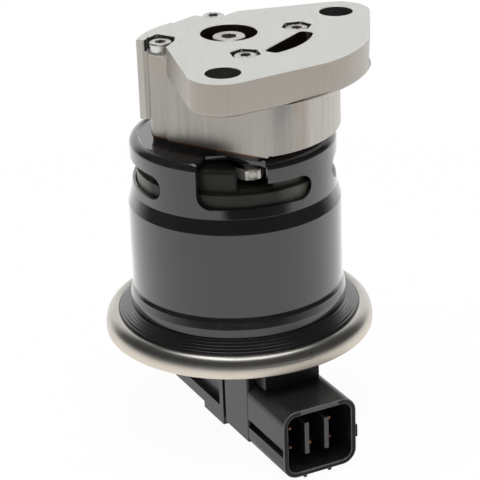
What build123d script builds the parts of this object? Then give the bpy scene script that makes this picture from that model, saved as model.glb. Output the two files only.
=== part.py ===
"""Solenoid EGR valve: a poppet valve in a flanged gas housing, its coil in a sheet-steel can,
and a lift sensor with a connector below. Millimetres.

The origin is on the valve axis in the flange's mounting face. +Z points out of that face,
+X towards the gas outlet slot, and the two mounting bolts lie along Y.
"""
from math import acos, atan2, cos, degrees, radians, sin, sqrt
import os

from build123d import *

os.makedirs("parts", exist_ok=True)

# ---- Clearances and travel ----
RUNNING = 0.05  # radial, shaft in bush
SLIDING = 0.08  # radial, armature in its sleeve
SEAT_GAP = 0.03  # across the closed poppet's cone
AIR_GAP = 0.3  # between parts that must not touch
LIFT = 4.5  # valve travel, downwards

# ---- Mounting flange ----
FLANGE_T = 8.5
BOLT_X = 15.86
BOLT_Y = 28.33
BOLT_HOLE_R = 4.5
LOBE_WALL = 4.5
FLANGE_NOSE_R = 36.7
NOSE_HALF_ANGLE = 15.7
REAR_SIDE_ANGLE = 135  # direction that the edge behind the lobe faces
FLANGE_REAR_X = 8.0  # behind the axis
FLANGE_EDGE_R = 0.8

# ---- Gas block ----
HOUSING_H = 25.2
BLOCK_HALF_Y = 17.3
BLOCK_NOSE_R = 28.5
BLOCK_REAR_X = 9.0  # where the flat sides step in to the rear bosses
NOSE_STEP = 0.8  # the nose ends this far above the base
NOSE_STEP_X = 21.0
SCREW_XY = 12.78
BOSS_R = 3.6
POCKET_DEPTH = 3.2
POCKET_R = 4.15  # hexagon, across corners
NOTCH_SIDE = 3.73  # screw notches, from the screw's axis to each corner
NOTCH_FRONT = 2.18
NOTCH_BEND_X = 3.88
NOTCH_BEND_Y = 0.68
WING_OUT = 2.0  # rear rib, beyond its boss
WING_BELLY = 1.4
WING_SIDE = 2.8
WING_STEP = 0.8
WING_STEP_Y = 0.9
WING_FRONT_T = 0.9
WING_ROOT = 1.0
WING_RISE = 3.7  # the rib ends this far above the base

# ---- Gas passages and seat ----
SEAT_BORE_R = 6.2
SEAT_CONE = 1.4  # width of the 45 degree seat
SEAT_H = 4.0
SEAT_LEDGE = 1.55  # seat's outer edge beyond the port
PORT_WIDENING = 1.25  # port beyond the seat's bore
PORT_DEPTH = 5.0
CHAMBER_STEP = 0.5
CHAMBER_H = 11.0
BUSH_STEP = 1.0
SLOT_INNER_X = 16.05
SLOT_OUTER_R = 21.85
SLOT_HALF_Y = 9.4
SLOT_CORNER_R = 1.5
PASSAGE_WIDTH = 13.0
PASSAGE_TOP = 1.5  # below the seat
PASSAGE_FLOOR = 1.0  # above the bush

# ---- Pintle ----
PINTLE_TOP = 0.9
PINTLE_TIP_R = 4.325
PINTLE_TIP_EDGE = 0.4
PINTLE_SOCKET_R = 2.15
PINTLE_SOCKET_DEPTH = 2.4
PINTLE_TIP_H = 3.1
POPPET_LAP = 0.4  # poppet beyond the seat's cone
POPPET_EDGE_H = 1.2
POPPET_NECK_H = 2.6
POPPET_NECK_CORNER = 1.2
STEM_R = 2.5
SHIELD_T = 0.8
SHIELD_WIDTH = 3.5
STEM_HOLE_GAP = 0.4  # radial, in plates that the stem only passes

# ---- Screws, washers and nuts (M4) ----
SCREW_R = 2.0
SCREW_HOLE_GAP = 0.15
SCREW_HEAD_R = 3.0
SCREW_HEAD_H = 2.7
SCREW_HEAD_TAPER = 0.25
SCREW_END = 0.3  # below its nut
TORX_R = 1.15
TORX_LOBE_R = 0.42
TORX_DEPTH = 1.5
WASHER_R = 4.0
WASHER_T = 0.8
LOCK_WASHER_R = 3.5
LOCK_WASHER_T = 1.1
LOCK_WASHER_SPLIT = 0.5
NUT_FLATS = 7.0
NUT_H = 3.0

# ---- Plates under the housing ----
GASKET_T = 0.5
SPACER_T = 1.2
PLATE_INSET = 0.4
SEAL_WALL = 4.5

# ---- Can ----
TOP_PLATE_T = 1.1
RIM_RISE = 0.5
CAN_WALL = 1.4
CAN_UPPER_R = 27.4
RIM_INSET = 2.3
CAN_SHOULDER_R = 2.2
CAN_INNER_SHOULDER_R = 1.1
CAN_STEP_DEPTH = 14.1  # below the top plate
CAN_STEP_H = 3.9
CAN_STEP_OUT = 1.0
CAN_STEP_CORNER = 0.8
CAN_STEP_LAG = 0.3  # inside corners of the drawn step, below the outside ones
CAN_H = 46.7
CAN_LIP_H = 2.4
CAN_FLARE_H = 4.2
CAN_FLARE_OUT = 0.8
CAN_FLARE_CORNER = 3.0
WINDOW_TOP = 5.1
WINDOW_H = 6.5
WINDOW_HALF_ANGLE = 33.35
RIM_NOTCH_START = -78.5  # directions of the notch's side walls
RIM_NOTCH_END = -39.5
RIM_NOTCH_INNER_R = 19.8
RIM_NOTCH_BEND_X = 8.3
RIM_NOTCH_UNDER = 0.9  # the notch's inner edge, under the block's side
RIM_NOTCH_DEPTH = 8.3

# ---- Coil ----
COVER_GAP = 0.2  # between cover and can wall
COVER_TOP_GAP = 1.0
COVER_TOP_INSET = 1.8
COVER_TOP_CORNER = 1.2
COVER_STEP = 8.1
COVER_NOTCH_R = 4.6
COVER_WALL = 1.0
COVER_SKIN = 2.8
COVER_FOOT = 3.2
BOBBIN_COVER = 2.3
BOBBIN_WALL = 1.3
COIL_INSET = 0.4
COLLAR_GAP = 0.67  # to the washers
COLLAR_WALL = 1.2

# ---- Armature and pole ----
SLEEVE_T = 0.7
ARMATURE_TOP = 5.0  # below the can's top plate
ARMATURE_H = 24.0
ARMATURE_TAPER = 2.0
ARMATURE_EDGE = 0.8
SPRING_POCKET_H = 4.0
CLIP_WIDTH = 1.9
CLIP_T = 1.0
STEM_TAIL = 2.0  # stem left below the armature's web
AIR_STOP = 0.5  # armature to pole at full travel
POLE_PLATE_T = 4.1

# ---- Springs ----
RETURN_SPRING_GAP = 0.6  # inside, to the clip
RETURN_POCKET_GAP = 0.8  # outside, to the armature's pocket
RETURN_WIRE_R = 0.6
RETURN_TURNS = 5
SENSOR_SPRING_R = 2.3
SENSOR_WIRE_R = 0.3
SENSOR_TURNS = 6

# ---- Base flange, seal and crimp ring ----
BASE_LAP = 2.5  # inside the can's bore
BASE_H = 3.4
BASE_HEM = 2.35  # under the crimp ring
BASE_EDGE_T = 0.6
RIDGE_COUNT = 3
RIDGE_PITCH = 1.15
RIDGE_DROP = 0.65
RIDGE_H = 0.35
RIDGE_CREST_START = 0.4
RIDGE_CREST_END = 0.75
RIDGE_CREST_R = 0.1
CAP_FLANGE_T = 3.3
CAP_SEAL_INSET = 4.0
CAP_SEAL_WIRE_R = 0.9
CRIMP_T = 0.9
CRIMP_WALL = 1.4
CRIMP_HEM_GAP = 0.15
CRIMP_HEM_DROP = 0.3
CRIMP_HEM_EDGE = 0.2
CRIMP_CREST_INSET = 1.9
CRIMP_CREST_CORNER = 1.5
CRIMP_SHOULDER_INSET = 0.6
CRIMP_SHOULDER_H = 0.6
CRIMP_SHOULDER_CORNER = 1.2
CRIMP_CREASE = 3.2  # below the crest
CRIMP_SKIRT_INSET = 0.25
CRIMP_END_CORNER = 0.6

# ---- Sensor cap and connector, square to the connector's direction ----
CONNECTOR_ANGLE = -31.3
CAP_HALF_WIDTH = 10.7
CAP_REAR = 24.0
CAP_FRONT = 24.6
CAP_H = 25.3
CAP_CORNER_R = 0.6
CAP_LEDGE_H = 3.4
CAP_RECESS = 1.8
CAP_RECESS_FRONT = 7.5
CAP_GROOVE_FRONT = 11.2
CAP_GROOVE_WIDTH = 1.6
CAP_FOOT_FRONT = 9.5
CAP_FOOT_REAR = 2.4
CAP_FOOT_H = 1.8
BRIDGE_LENGTH = 5.4
BRIDGE_HALF_WIDTH = 8.0
SHROUD_LENGTH = 19.9
SHROUD_DROP = 8.0  # top of the shroud below the flange
SHROUD_H = 19.2
SHROUD_CORNER_R = 4.0
SHROUD_WALL = 1.4
SHROUD_DEPTH = 14.5
RAIL_DROP = 10.3
RAIL_H = 2.4
RAIL_DEPTH = 0.7
RAIL_MOUTH_GAP = 0.5
DIVIDER_U = 2.9
DIVIDER_T = 1.3
DIVIDER_DROP = 4.9
DIVIDER_H = 9.2
DIVIDER_MOUTH_GAP = 1.7
LUG_H = 3.4
LUG_DEPTH = 1.3
LUG_LENGTH = 7.5
LUG_MOUTH_GAP = 1.5
LUG_DROP = 11.3
NUB_PLACES = (-4.3, 3.0)
NUB_T = 1.0
NUB_DEPTH = 0.9
NUB_LENGTH = 6.0
NUB_MOUTH_GAP = 0.4
PIN_SIDE = 0.9
PIN_TIP = 0.2
PIN_COLUMN = 5.9
PIN_DROP = 7.7
PIN_ROW = 5.6
PIN_MOUTH_GAP = 5.5

# ---- Sensor ----
CAVITY_REAR = 8.0
CAVITY_FRONT = 8.2
CAVITY_WALL = 3.5
CAVITY_FLOOR_T = 2.6
BOARD_T = 1.0
BOARD_GAP = 0.6
BOARD_H = 21.0
PLUNGER_R = 1.8
PLUNGER_TIP = 0.5
CARRIER_LENGTH = 7.0
CARRIER_WIDTH = 8.0
CARRIER_CORNER = 0.8
CARRIER_H = 5.0
CARRIER_DROP = 5.7
CARRIER_SOCKET = 2.5
SPRING_SEAT_DEPTH = 0.8
WIPER_T = 0.4
WIPER_WIDTH = 1.6
WIPER_SPACING = 4.0
WIPER_DROP = 1.0
WIPER_BEND = 1.0
WIPER_FINGER_H = 2.0
COIL_BLADE_INSET = 5.5  # inside the bobbin's edge
COIL_BLADE_U = 4.0
COIL_BLADE_WIDTH = 2.0
COIL_BLADE_T = 0.8
COIL_BLADE_TAIL = 11.7  # below the cap's flange

# ---- Radii that follow from the sizes above ----
lobe_r = BOLT_HOLE_R + LOBE_WALL
port_r = SEAT_BORE_R + PORT_WIDENING
seat_outer_r = port_r + SEAT_LEDGE
chamber_r = seat_outer_r + CHAMBER_STEP
bush_r = chamber_r + BUSH_STEP
poppet_r = SEAT_BORE_R + SEAT_CONE + POPPET_LAP
seat_root = sqrt(2) * SEAT_GAP
shield_r = STEM_R + SHIELD_WIDTH
seal_r = STEM_R + SEAL_WALL
screw_hole_r = SCREW_R + SCREW_HOLE_GAP
screw_circle = SCREW_XY * sqrt(2)
screw_places = [(x, y) for x in (-SCREW_XY, SCREW_XY) for y in (-SCREW_XY, SCREW_XY)]
rim_r = CAN_UPPER_R - RIM_INSET
plate_nose_r = rim_r - RIM_RISE - AIR_GAP
can_lower_r = CAN_UPPER_R + CAN_STEP_OUT
can_lip_r = can_lower_r + CAN_FLARE_OUT
can_bore_upper = CAN_UPPER_R - CAN_WALL
can_bore_lower = can_lower_r - CAN_WALL
cover_r = can_bore_upper - COVER_GAP
cover_top_r = cover_r - COVER_TOP_INSET
bobbin_flange_r = cover_r - COVER_SKIN
coil_r = bobbin_flange_r - COIL_INSET
coil_blade_s = bobbin_flange_r - COIL_BLADE_INSET
collar_r = screw_circle - WASHER_R - COLLAR_GAP
sleeve_r = collar_r - COLLAR_WALL
sleeve_bore = sleeve_r - SLEEVE_T
armature_r = sleeve_bore - SLIDING
clip_r = STEM_R + CLIP_WIDTH
return_spring_r = clip_r + RETURN_SPRING_GAP + RETURN_WIRE_R
spring_pocket_r = return_spring_r + RETURN_WIRE_R + RETURN_POCKET_GAP
base_inner_r = can_bore_lower - BASE_LAP
ridge_end_r = can_lip_r + RIDGE_COUNT * RIDGE_PITCH
base_r = ridge_end_r + BASE_HEM
cap_seal_r = base_r - CAP_SEAL_INSET
crimp_r = base_r + CRIMP_WALL

# ---- Heights that follow from the sizes above ----
z_seat_top = -PORT_DEPTH
z_seat = z_seat_top - SEAT_H
z_chamber = z_seat - CHAMBER_H
z_screw_seat = -POCKET_DEPTH
z_base = -HOUSING_H
z_wing = z_base + WING_RISE
z_gasket = z_base - GASKET_T
z_can = z_gasket - SPACER_T
z_plate = z_can - TOP_PLATE_T
z_washer = z_plate - WASHER_T
z_lock = z_washer - LOCK_WASHER_T
z_nut = z_lock - NUT_H
z_screw_end = z_nut - SCREW_END
z_step_top = z_can - CAN_STEP_DEPTH
z_step_end = z_step_top - CAN_STEP_H
z_can_end = z_can - CAN_H
z_lip = z_can_end + CAN_LIP_H
z_flare = z_lip + CAN_FLARE_H
z_pole_plate = z_can_end + POLE_PLATE_T
z_cover_top = z_plate - COVER_TOP_GAP
z_cover_step = z_can - COVER_STEP
z_bobbin = z_screw_end - COVER_WALL - BOBBIN_COVER
z_bobbin_end = z_pole_plate + COVER_FOOT
z_armature = z_plate - ARMATURE_TOP
z_armature_end = z_armature - ARMATURE_H
z_pole = z_armature_end - LIFT - AIR_STOP
z_web = z_armature_end + SPRING_POCKET_H
z_stem_end = z_web - STEM_TAIL
z_base_end = z_can_end - BASE_H
z_edge = z_base_end + BASE_EDGE_T
z_crest = z_edge + CRIMP_T
z_crease = z_crest - CRIMP_CREASE
z_cap_flange = z_base_end - CAP_FLANGE_T
z_crimp_end = z_cap_flange - CRIMP_T
z_cap_end = z_cap_flange - CAP_H
z_ledge = z_cap_end + CAP_LEDGE_H
z_shroud = z_cap_flange - SHROUD_DROP
z_shroud_end = z_shroud - SHROUD_H
z_divider = z_shroud - DIVIDER_DROP
z_rail = z_shroud - RAIL_DROP
z_lug = z_shroud - LUG_DROP
z_pins = z_shroud - PIN_DROP
z_carrier = z_cap_flange - CARRIER_DROP
z_carrier_end = z_carrier - CARRIER_H
z_wiper = z_carrier - WIPER_DROP
z_cavity = z_cap_end + CAVITY_FLOOR_T
z_blade_end = z_cap_flange - COIL_BLADE_TAIL

# ---- Distances along and across the connector ----
shroud_mouth = CAP_FRONT + SHROUD_LENGTH
shroud_floor = shroud_mouth - SHROUD_DEPTH
bridge_front = CAP_FRONT + BRIDGE_LENGTH
cavity_half_width = CAP_HALF_WIDTH - CAVITY_WALL
board_half_width = cavity_half_width - BOARD_GAP


# ---- The connector's own directions ----
along = Vector(cos(radians(CONNECTOR_ANGLE)), sin(radians(CONNECTOR_ANGLE)), 0)
across = Vector(-along.Y, along.X, 0)


def level(z):
    """A horizontal plane whose x runs out along the connector."""
    return Plane(origin=(0, 0, z), x_dir=along, z_dir=(0, 0, 1))


def station(distance):
    """An upright plane square to the connector, seen from its mouth: x across, y up."""
    return Plane(origin=along * distance, x_dir=across, z_dir=along)


def flank(offset):
    """An upright plane along the connector: x along it, y up, facing -across."""
    return Plane(origin=across * offset, x_dir=along, z_dir=-across)


def box_between(x, y):
    """A rectangle in the current sketch, from its limits in x and y."""
    with Locations(((x[0] + x[1]) / 2, (y[0] + y[1]) / 2)):
        Rectangle(x[1] - x[0], y[1] - y[0])


def turned(outline, mode=Mode.ADD):
    """Turn an outline about the valve axis: points (radius, height) or (radius, height, corner)."""
    radii = [point[2] if len(point) > 2 else 0 for point in outline]
    with BuildSketch(Plane.XZ) as section:
        with BuildLine():
            FilletPolyline(*[point[:2] for point in outline], radius=radii, close=True)
        make_face()
    revolve(section.sketch, axis=Axis.Z, mode=mode)


def ring(inner, outer, bottom, top, mode=Mode.ADD):
    """A plain ring about the valve axis."""
    turned([(inner, bottom), (outer, bottom), (outer, top), (inner, top)], mode)


def coil_spring(radius, wire, bottom, top, turns):
    """A helical spring that fits between two heights."""
    path = Helix(
        pitch=(top - bottom - 2 * wire) / turns,
        height=top - bottom - 2 * wire,
        radius=radius,
        center=(0, 0, bottom + wire),
        mode=Mode.PRIVATE,
    )
    with BuildPart() as spring:
        with BuildSketch(Plane(path @ 0, z_dir=path % 0)) as section:
            Circle(wire)
        sweep(section.sketch, path=path, is_frenet=True)
    return spring


# ---- Plan outlines ----
def facing(angle):
    return Vector(cos(radians(angle)), sin(radians(angle)))


def flange_outline():
    """Two bolt lobes joined to a round nose, open to the block at the rear."""
    lobe = Vector(BOLT_X, BOLT_Y)
    nose_end = facing(NOSE_HALF_ANGLE) * FLANGE_NOSE_R
    reach = nose_end - lobe
    side = facing(degrees(atan2(reach.Y, reach.X) + acos(lobe_r / reach.length)))
    rear = facing(REAR_SIDE_ANGLE)
    front_touch = lobe + side * lobe_r
    rear_touch = lobe + rear * lobe_r
    rear_end = Vector(-FLANGE_REAR_X, (rear.dot(rear_touch) + rear.X * FLANGE_REAR_X) / rear.Y)
    middle = (side + rear).normalized()
    with BuildSketch() as outline:
        with BuildLine():
            ThreePointArc(
                (FLANGE_NOSE_R, 0), facing(NOSE_HALF_ANGLE / 2) * FLANGE_NOSE_R, nose_end
            )
            Line(nose_end, front_touch)
            ThreePointArc(front_touch, lobe + middle * lobe_r, rear_touch)
            Line(rear_touch, rear_end)
            Line(rear_end, (-FLANGE_REAR_X, 0))
            Line((-FLANGE_REAR_X, 0), (FLANGE_NOSE_R, 0))
        make_face()
        mirror(about=Plane.XZ)
    return outline.sketch


def block_outline(nose_r=BLOCK_NOSE_R, inset=0.0):
    """The gas block in plan: round nose, flat sides, and two round screw bosses at the rear."""
    half_y = BLOCK_HALF_Y - inset
    boss = BOSS_R - inset
    with BuildSketch() as whole:
        box_between((-BLOCK_REAR_X, nose_r), (-half_y, half_y))
        Circle(nose_r, mode=Mode.INTERSECT)
        box_between((-SCREW_XY, -BLOCK_REAR_X), (-SCREW_XY - boss, SCREW_XY + boss))
        box_between((-SCREW_XY - boss, -SCREW_XY), (-SCREW_XY, SCREW_XY))
        with Locations((-SCREW_XY, -SCREW_XY), (-SCREW_XY, SCREW_XY)):
            Circle(boss)
    return whole.sketch


def slot_outline():
    """The kidney-shaped outlet: straight inside, round outside."""
    with BuildSketch() as slot:
        box_between((SLOT_INNER_X, SLOT_OUTER_R), (-SLOT_HALF_Y, SLOT_HALF_Y))
        Circle(SLOT_OUTER_R, mode=Mode.INTERSECT)
        fillet(slot.vertices(), SLOT_CORNER_R)
    return slot.sketch


# ---- Gas housing ----
boss_x = -SCREW_XY - BOSS_R
notch_y = SCREW_XY - NOTCH_SIDE


def wing_outline():
    """The curved rib beside a rear boss, with a step in its back."""
    out_x = boss_x - WING_OUT
    front_y = -SCREW_XY - WING_SIDE
    root = (boss_x + WING_ROOT, front_y + WING_FRONT_T)
    belly = (out_x - WING_BELLY, (front_y + WING_STEP_Y) / 2)
    with BuildSketch() as wing:
        with BuildLine():
            Line(root, (out_x, front_y))
            ThreePointArc((out_x, front_y), belly, (out_x, WING_STEP_Y))
            Polyline(
                (out_x, WING_STEP_Y),
                (out_x + WING_STEP, WING_STEP_Y),
                (boss_x, notch_y),
                (boss_x + WING_ROOT, notch_y),
                root,
            )
        make_face()
    return wing.sketch


def notch_outline():
    """Clearance round a rear screw's head, open to the block's rear corner."""
    outside = -BLOCK_HALF_Y - lobe_r
    with BuildSketch() as notch:
        with BuildLine():
            Polyline(
                (boss_x, -notch_y),
                (-SCREW_XY + NOTCH_FRONT, -notch_y),
                (-SCREW_XY + NOTCH_BEND_X, -SCREW_XY + NOTCH_BEND_Y),
                (-FLANGE_REAR_X, -BLOCK_HALF_Y),
                (-FLANGE_REAR_X, outside),
                (boss_x, outside),
                close=True,
            )
        make_face()
    return notch.sketch


with BuildPart() as valve_housing:
    extrude(flange_outline(), amount=-FLANGE_T)
    flange_rim = valve_housing.faces().sort_by(Axis.Z)[0].outer_wire().edges()
    fillet(flange_rim.sort_by(Axis.X)[1:], FLANGE_EDGE_R)
    extrude(block_outline(), amount=-HOUSING_H)
    extrude(wing_outline(), amount=z_wing)
    with BuildSketch(Plane.XY.offset(z_base)) as nose_step:
        box_between((NOSE_STEP_X, BLOCK_NOSE_R), (-BLOCK_HALF_Y, BLOCK_HALF_Y))
    extrude(nose_step.sketch, amount=NOSE_STEP, mode=Mode.SUBTRACT)
    # screw pockets and notches
    extrude(notch_outline(), amount=-POCKET_DEPTH, mode=Mode.SUBTRACT)
    extrude(mirror(notch_outline(), about=Plane.XZ, mode=Mode.PRIVATE), amount=-POCKET_DEPTH,
            mode=Mode.SUBTRACT)
    with BuildSketch() as pockets:
        for (x, y), turn in zip(screw_places, (0, 0, 15, 45)):
            with Locations((x, y)):
                RegularPolygon(POCKET_R, 6, rotation=turn)
    extrude(pockets.sketch, amount=-POCKET_DEPTH, mode=Mode.SUBTRACT)
    with BuildSketch() as holes:
        with Locations(*screw_places):
            Circle(screw_hole_r)
    extrude(holes.sketch, amount=-HOUSING_H, mode=Mode.SUBTRACT)
    with BuildSketch() as bolt_holes:
        with Locations((BOLT_X, -BOLT_Y), (BOLT_X, BOLT_Y)):
            Circle(BOLT_HOLE_R)
    extrude(bolt_holes.sketch, amount=-FLANGE_T, mode=Mode.SUBTRACT)
    # gas passages
    turned(
        [
            (0, 0),
            (port_r, 0),
            (port_r, z_seat_top),
            (seat_outer_r, z_seat_top),
            (seat_outer_r, z_seat),
            (chamber_r, z_seat),
            (chamber_r, z_chamber),
            (bush_r, z_chamber),
            (bush_r, z_base),
            (0, z_base),
        ],
        Mode.SUBTRACT,
    )
    passage_floor = z_chamber + PASSAGE_FLOOR
    extrude(slot_outline(), amount=passage_floor, mode=Mode.SUBTRACT)
    with BuildSketch(Plane.XY.offset(passage_floor)) as passage:
        box_between((0, SLOT_INNER_X + SLOT_CORNER_R), (-PASSAGE_WIDTH / 2, PASSAGE_WIDTH / 2))
    extrude(passage.sketch, amount=z_seat - PASSAGE_TOP - passage_floor, mode=Mode.SUBTRACT)
valve_housing.part.label = "valve_housing"
export_step(valve_housing.part, "parts/valve_housing.step")

with BuildPart() as valve_seat:
    turned(
        [
            (SEAT_BORE_R, z_seat_top),
            (seat_outer_r, z_seat_top),
            (seat_outer_r, z_seat),
            (SEAT_BORE_R + SEAT_CONE, z_seat),
            (SEAT_BORE_R, z_seat + SEAT_CONE),
        ]
    )
valve_seat.part.label = "valve_seat"
export_step(valve_seat.part, "parts/valve_seat.step")

with BuildPart() as stem_bushing:
    ring(STEM_R + RUNNING, bush_r, z_base, z_chamber)
    chamfer(stem_bushing.edges().group_by(Axis.Z)[-1].sort_by(SortBy.RADIUS)[0], STEM_HOLE_GAP)
stem_bushing.part.label = "stem_bushing"
export_step(stem_bushing.part, "parts/stem_bushing.step")

with BuildPart() as deposit_shield:
    ring(STEM_R + STEM_HOLE_GAP, shield_r, z_chamber, z_chamber + SHIELD_T)
    fillet(deposit_shield.edges().group_by(Axis.Z)[-1].sort_by(SortBy.RADIUS)[-1], SHIELD_T / 2)
deposit_shield.part.label = "deposit_shield"
export_step(deposit_shield.part, "parts/deposit_shield.step")

# ---- Pintle: tip in the port, poppet under the seat, stem down to the armature ----
tip_end = -PINTLE_TOP - PINTLE_TIP_H
cone_start_r = SEAT_BORE_R - SEAT_CONE / 2
cone_offset = z_seat + SEAT_CONE + SEAT_BORE_R - seat_root
poppet_edge = cone_offset - poppet_r

with BuildPart() as pintle:
    turned(
        [
            (0, -PINTLE_TOP),
            (PINTLE_TIP_R, -PINTLE_TOP, PINTLE_TIP_EDGE),
            (PINTLE_TIP_R, tip_end),
            (cone_start_r, cone_offset - cone_start_r),
            (poppet_r, poppet_edge),
            (poppet_r, poppet_edge - POPPET_EDGE_H),
            (STEM_R, poppet_edge - POPPET_EDGE_H - POPPET_NECK_H, POPPET_NECK_CORNER),
            (STEM_R, z_stem_end),
            (0, z_stem_end),
        ]
    )
    with BuildSketch(Plane.XY.offset(-PINTLE_TOP)) as socket:
        RegularPolygon(PINTLE_SOCKET_R, 6)
    extrude(socket.sketch, amount=-PINTLE_SOCKET_DEPTH, mode=Mode.SUBTRACT)
pintle.part.label = "pintle"
export_step(pintle.part, "parts/pintle.step")

# ---- Housing screws, washers and nuts ----
with BuildPart() as housing_screws:
    for place in screw_places:
        with BuildSketch(Plane.XY.offset(z_screw_seat)) as shank:
            with Locations(place):
                Circle(SCREW_R)
        extrude(shank.sketch, amount=z_screw_end - z_screw_seat)
        with BuildSketch(Plane.XY.offset(z_screw_seat)) as head_foot:
            with Locations(place):
                Circle(SCREW_HEAD_R - SCREW_HEAD_TAPER)
        with BuildSketch(Plane.XY.offset(z_screw_seat + SCREW_HEAD_H)) as head_top:
            with Locations(place):
                Circle(SCREW_HEAD_R)
        loft([head_foot.sketch, head_top.sketch])
        with BuildSketch(Plane.XY.offset(z_screw_seat + SCREW_HEAD_H)) as drive:
            with Locations(place):
                Circle(TORX_R)
                with PolarLocations(TORX_R, 6):
                    Circle(TORX_LOBE_R)
        extrude(drive.sketch, amount=-TORX_DEPTH, mode=Mode.SUBTRACT)
housing_screws.part.label = "housing_screws"
export_step(housing_screws.part, "parts/housing_screws.step")

with BuildPart() as plain_washers:
    with BuildSketch(Plane.XY.offset(z_washer)):
        with Locations(*screw_places):
            Circle(WASHER_R)
            Circle(screw_hole_r, mode=Mode.SUBTRACT)
    extrude(amount=WASHER_T)
plain_washers.part.label = "plain_washers"
export_step(plain_washers.part, "parts/plain_washers.step")

with BuildPart() as lock_washers:
    with BuildSketch(Plane.XY.offset(z_lock)):
        with Locations(*screw_places):
            Circle(LOCK_WASHER_R)
            Circle(screw_hole_r, mode=Mode.SUBTRACT)
        for x, y in screw_places:
            with Locations((x + LOCK_WASHER_R, y)):
                Rectangle(2 * LOCK_WASHER_R, LOCK_WASHER_SPLIT, mode=Mode.SUBTRACT)
    extrude(amount=LOCK_WASHER_T)
lock_washers.part.label = "lock_washers"
export_step(lock_washers.part, "parts/lock_washers.step")

with BuildPart() as housing_nuts:
    with BuildSketch(Plane.XY.offset(z_nut)):
        with Locations(*screw_places):
            RegularPolygon(NUT_FLATS / 2, 6, major_radius=False)
            Circle(SCREW_R, mode=Mode.SUBTRACT)
    extrude(amount=NUT_H)
housing_nuts.part.label = "housing_nuts"
export_step(housing_nuts.part, "parts/housing_nuts.step")

# ---- Plates and seal between housing and can ----
with BuildPart() as base_gasket:
    with BuildSketch(Plane.XY.offset(z_gasket)):
        add(block_outline(plate_nose_r, PLATE_INSET / 2))
        with Locations(*screw_places):
            Circle(screw_hole_r, mode=Mode.SUBTRACT)
        Circle(seal_r, mode=Mode.SUBTRACT)
    extrude(amount=GASKET_T)
base_gasket.part.label = "base_gasket"
export_step(base_gasket.part, "parts/base_gasket.step")

with BuildPart() as spacer_plate:
    with BuildSketch(Plane.XY.offset(z_can)):
        add(block_outline(plate_nose_r - PLATE_INSET, PLATE_INSET))
        with Locations(*screw_places):
            Circle(screw_hole_r, mode=Mode.SUBTRACT)
        Circle(seal_r, mode=Mode.SUBTRACT)
    extrude(amount=SPACER_T)
spacer_plate.part.label = "spacer_plate"
export_step(spacer_plate.part, "parts/spacer_plate.step")

with BuildPart() as stem_seal:
    ring(STEM_R + RUNNING, seal_r, z_plate, z_base)
stem_seal.part.label = "stem_seal"
export_step(stem_seal.part, "parts/stem_seal.step")

# ---- Solenoid can: drawn sheet with a recessed top, four windows and a turned-out lip ----
with BuildPart() as solenoid_can:
    turned(
        [
            (seal_r, z_can),
            (rim_r - RIM_RISE, z_can),
            (rim_r, z_can + RIM_RISE),
            (CAN_UPPER_R, z_can + RIM_RISE, CAN_SHOULDER_R),
            (CAN_UPPER_R, z_step_top, CAN_STEP_CORNER),
            (can_lower_r, z_step_end, CAN_STEP_CORNER),
            (can_lower_r, z_flare, CAN_FLARE_CORNER),
            (can_lip_r, z_lip),
            (can_lip_r, z_can_end),
            (can_bore_lower, z_can_end),
            (can_bore_lower, z_step_end - CAN_STEP_LAG, CAN_STEP_CORNER),
            (can_bore_upper, z_step_top - CAN_STEP_LAG, CAN_STEP_CORNER),
            (can_bore_upper, z_plate, CAN_INNER_SHOULDER_R),
            (seal_r, z_plate),
        ]
    )
    window_half = CAN_UPPER_R * sin(radians(WINDOW_HALF_ANGLE))
    for angle in (-135, -45, 45, 135):
        wall = Plane(origin=(0, 0, 0), x_dir=(-sin(radians(angle)), cos(radians(angle)), 0),
                     z_dir=facing(angle))
        with BuildSketch(wall) as window:
            with Locations((0, z_can - WINDOW_TOP - WINDOW_H / 2)):
                SlotOverall(2 * window_half, WINDOW_H)
        extrude(window.sketch, amount=can_lip_r, mode=Mode.SUBTRACT)
    # notch through the rim and the top plate's edge, beside the block
    notch_start = facing(RIM_NOTCH_START)
    notch_end = facing(RIM_NOTCH_END)
    notch_edge_y = RIM_NOTCH_UNDER - BLOCK_HALF_Y
    notch_reach = can_lip_r / cos(radians((RIM_NOTCH_END - RIM_NOTCH_START) / 2))
    with BuildSketch(Plane.XY.offset(z_can - RIM_NOTCH_DEPTH)) as rim_notch:
        with BuildLine():
            Polyline(
                notch_start * notch_reach,
                notch_start * RIM_NOTCH_INNER_R,
                (RIM_NOTCH_BEND_X, notch_edge_y),
                (notch_edge_y / notch_end.Y * notch_end.X, notch_edge_y),
                notch_end * notch_reach,
                close=True,
            )
        make_face()
    extrude(rim_notch.sketch, amount=RIM_NOTCH_DEPTH + RIM_RISE, mode=Mode.SUBTRACT)
    with BuildSketch(Plane.XY.offset(z_plate)) as can_holes:
        with Locations(*screw_places):
            Circle(screw_hole_r)
    extrude(can_holes.sketch, amount=TOP_PLATE_T, mode=Mode.SUBTRACT)
solenoid_can.part.label = "solenoid_can"
export_step(solenoid_can.part, "parts/solenoid_can.step")

# ---- Coil: bobbin, winding, moulded cover and the collar that carries flux to the armature ----
with BuildPart() as pole_collar:
    ring(sleeve_r, collar_r, z_bobbin, z_plate)
pole_collar.part.label = "pole_collar"
export_step(pole_collar.part, "parts/pole_collar.step")

with BuildPart() as guide_sleeve:
    turned(
        [
            (STEM_R + STEM_HOLE_GAP, z_plate),
            (sleeve_r, z_plate, SLEEVE_T),
            (sleeve_r, z_pole_plate),
            (sleeve_bore, z_pole_plate),
            (sleeve_bore, z_plate - SLEEVE_T),
            (STEM_R + STEM_HOLE_GAP, z_plate - SLEEVE_T),
        ]
    )
guide_sleeve.part.label = "guide_sleeve"
export_step(guide_sleeve.part, "parts/guide_sleeve.step")

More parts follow.
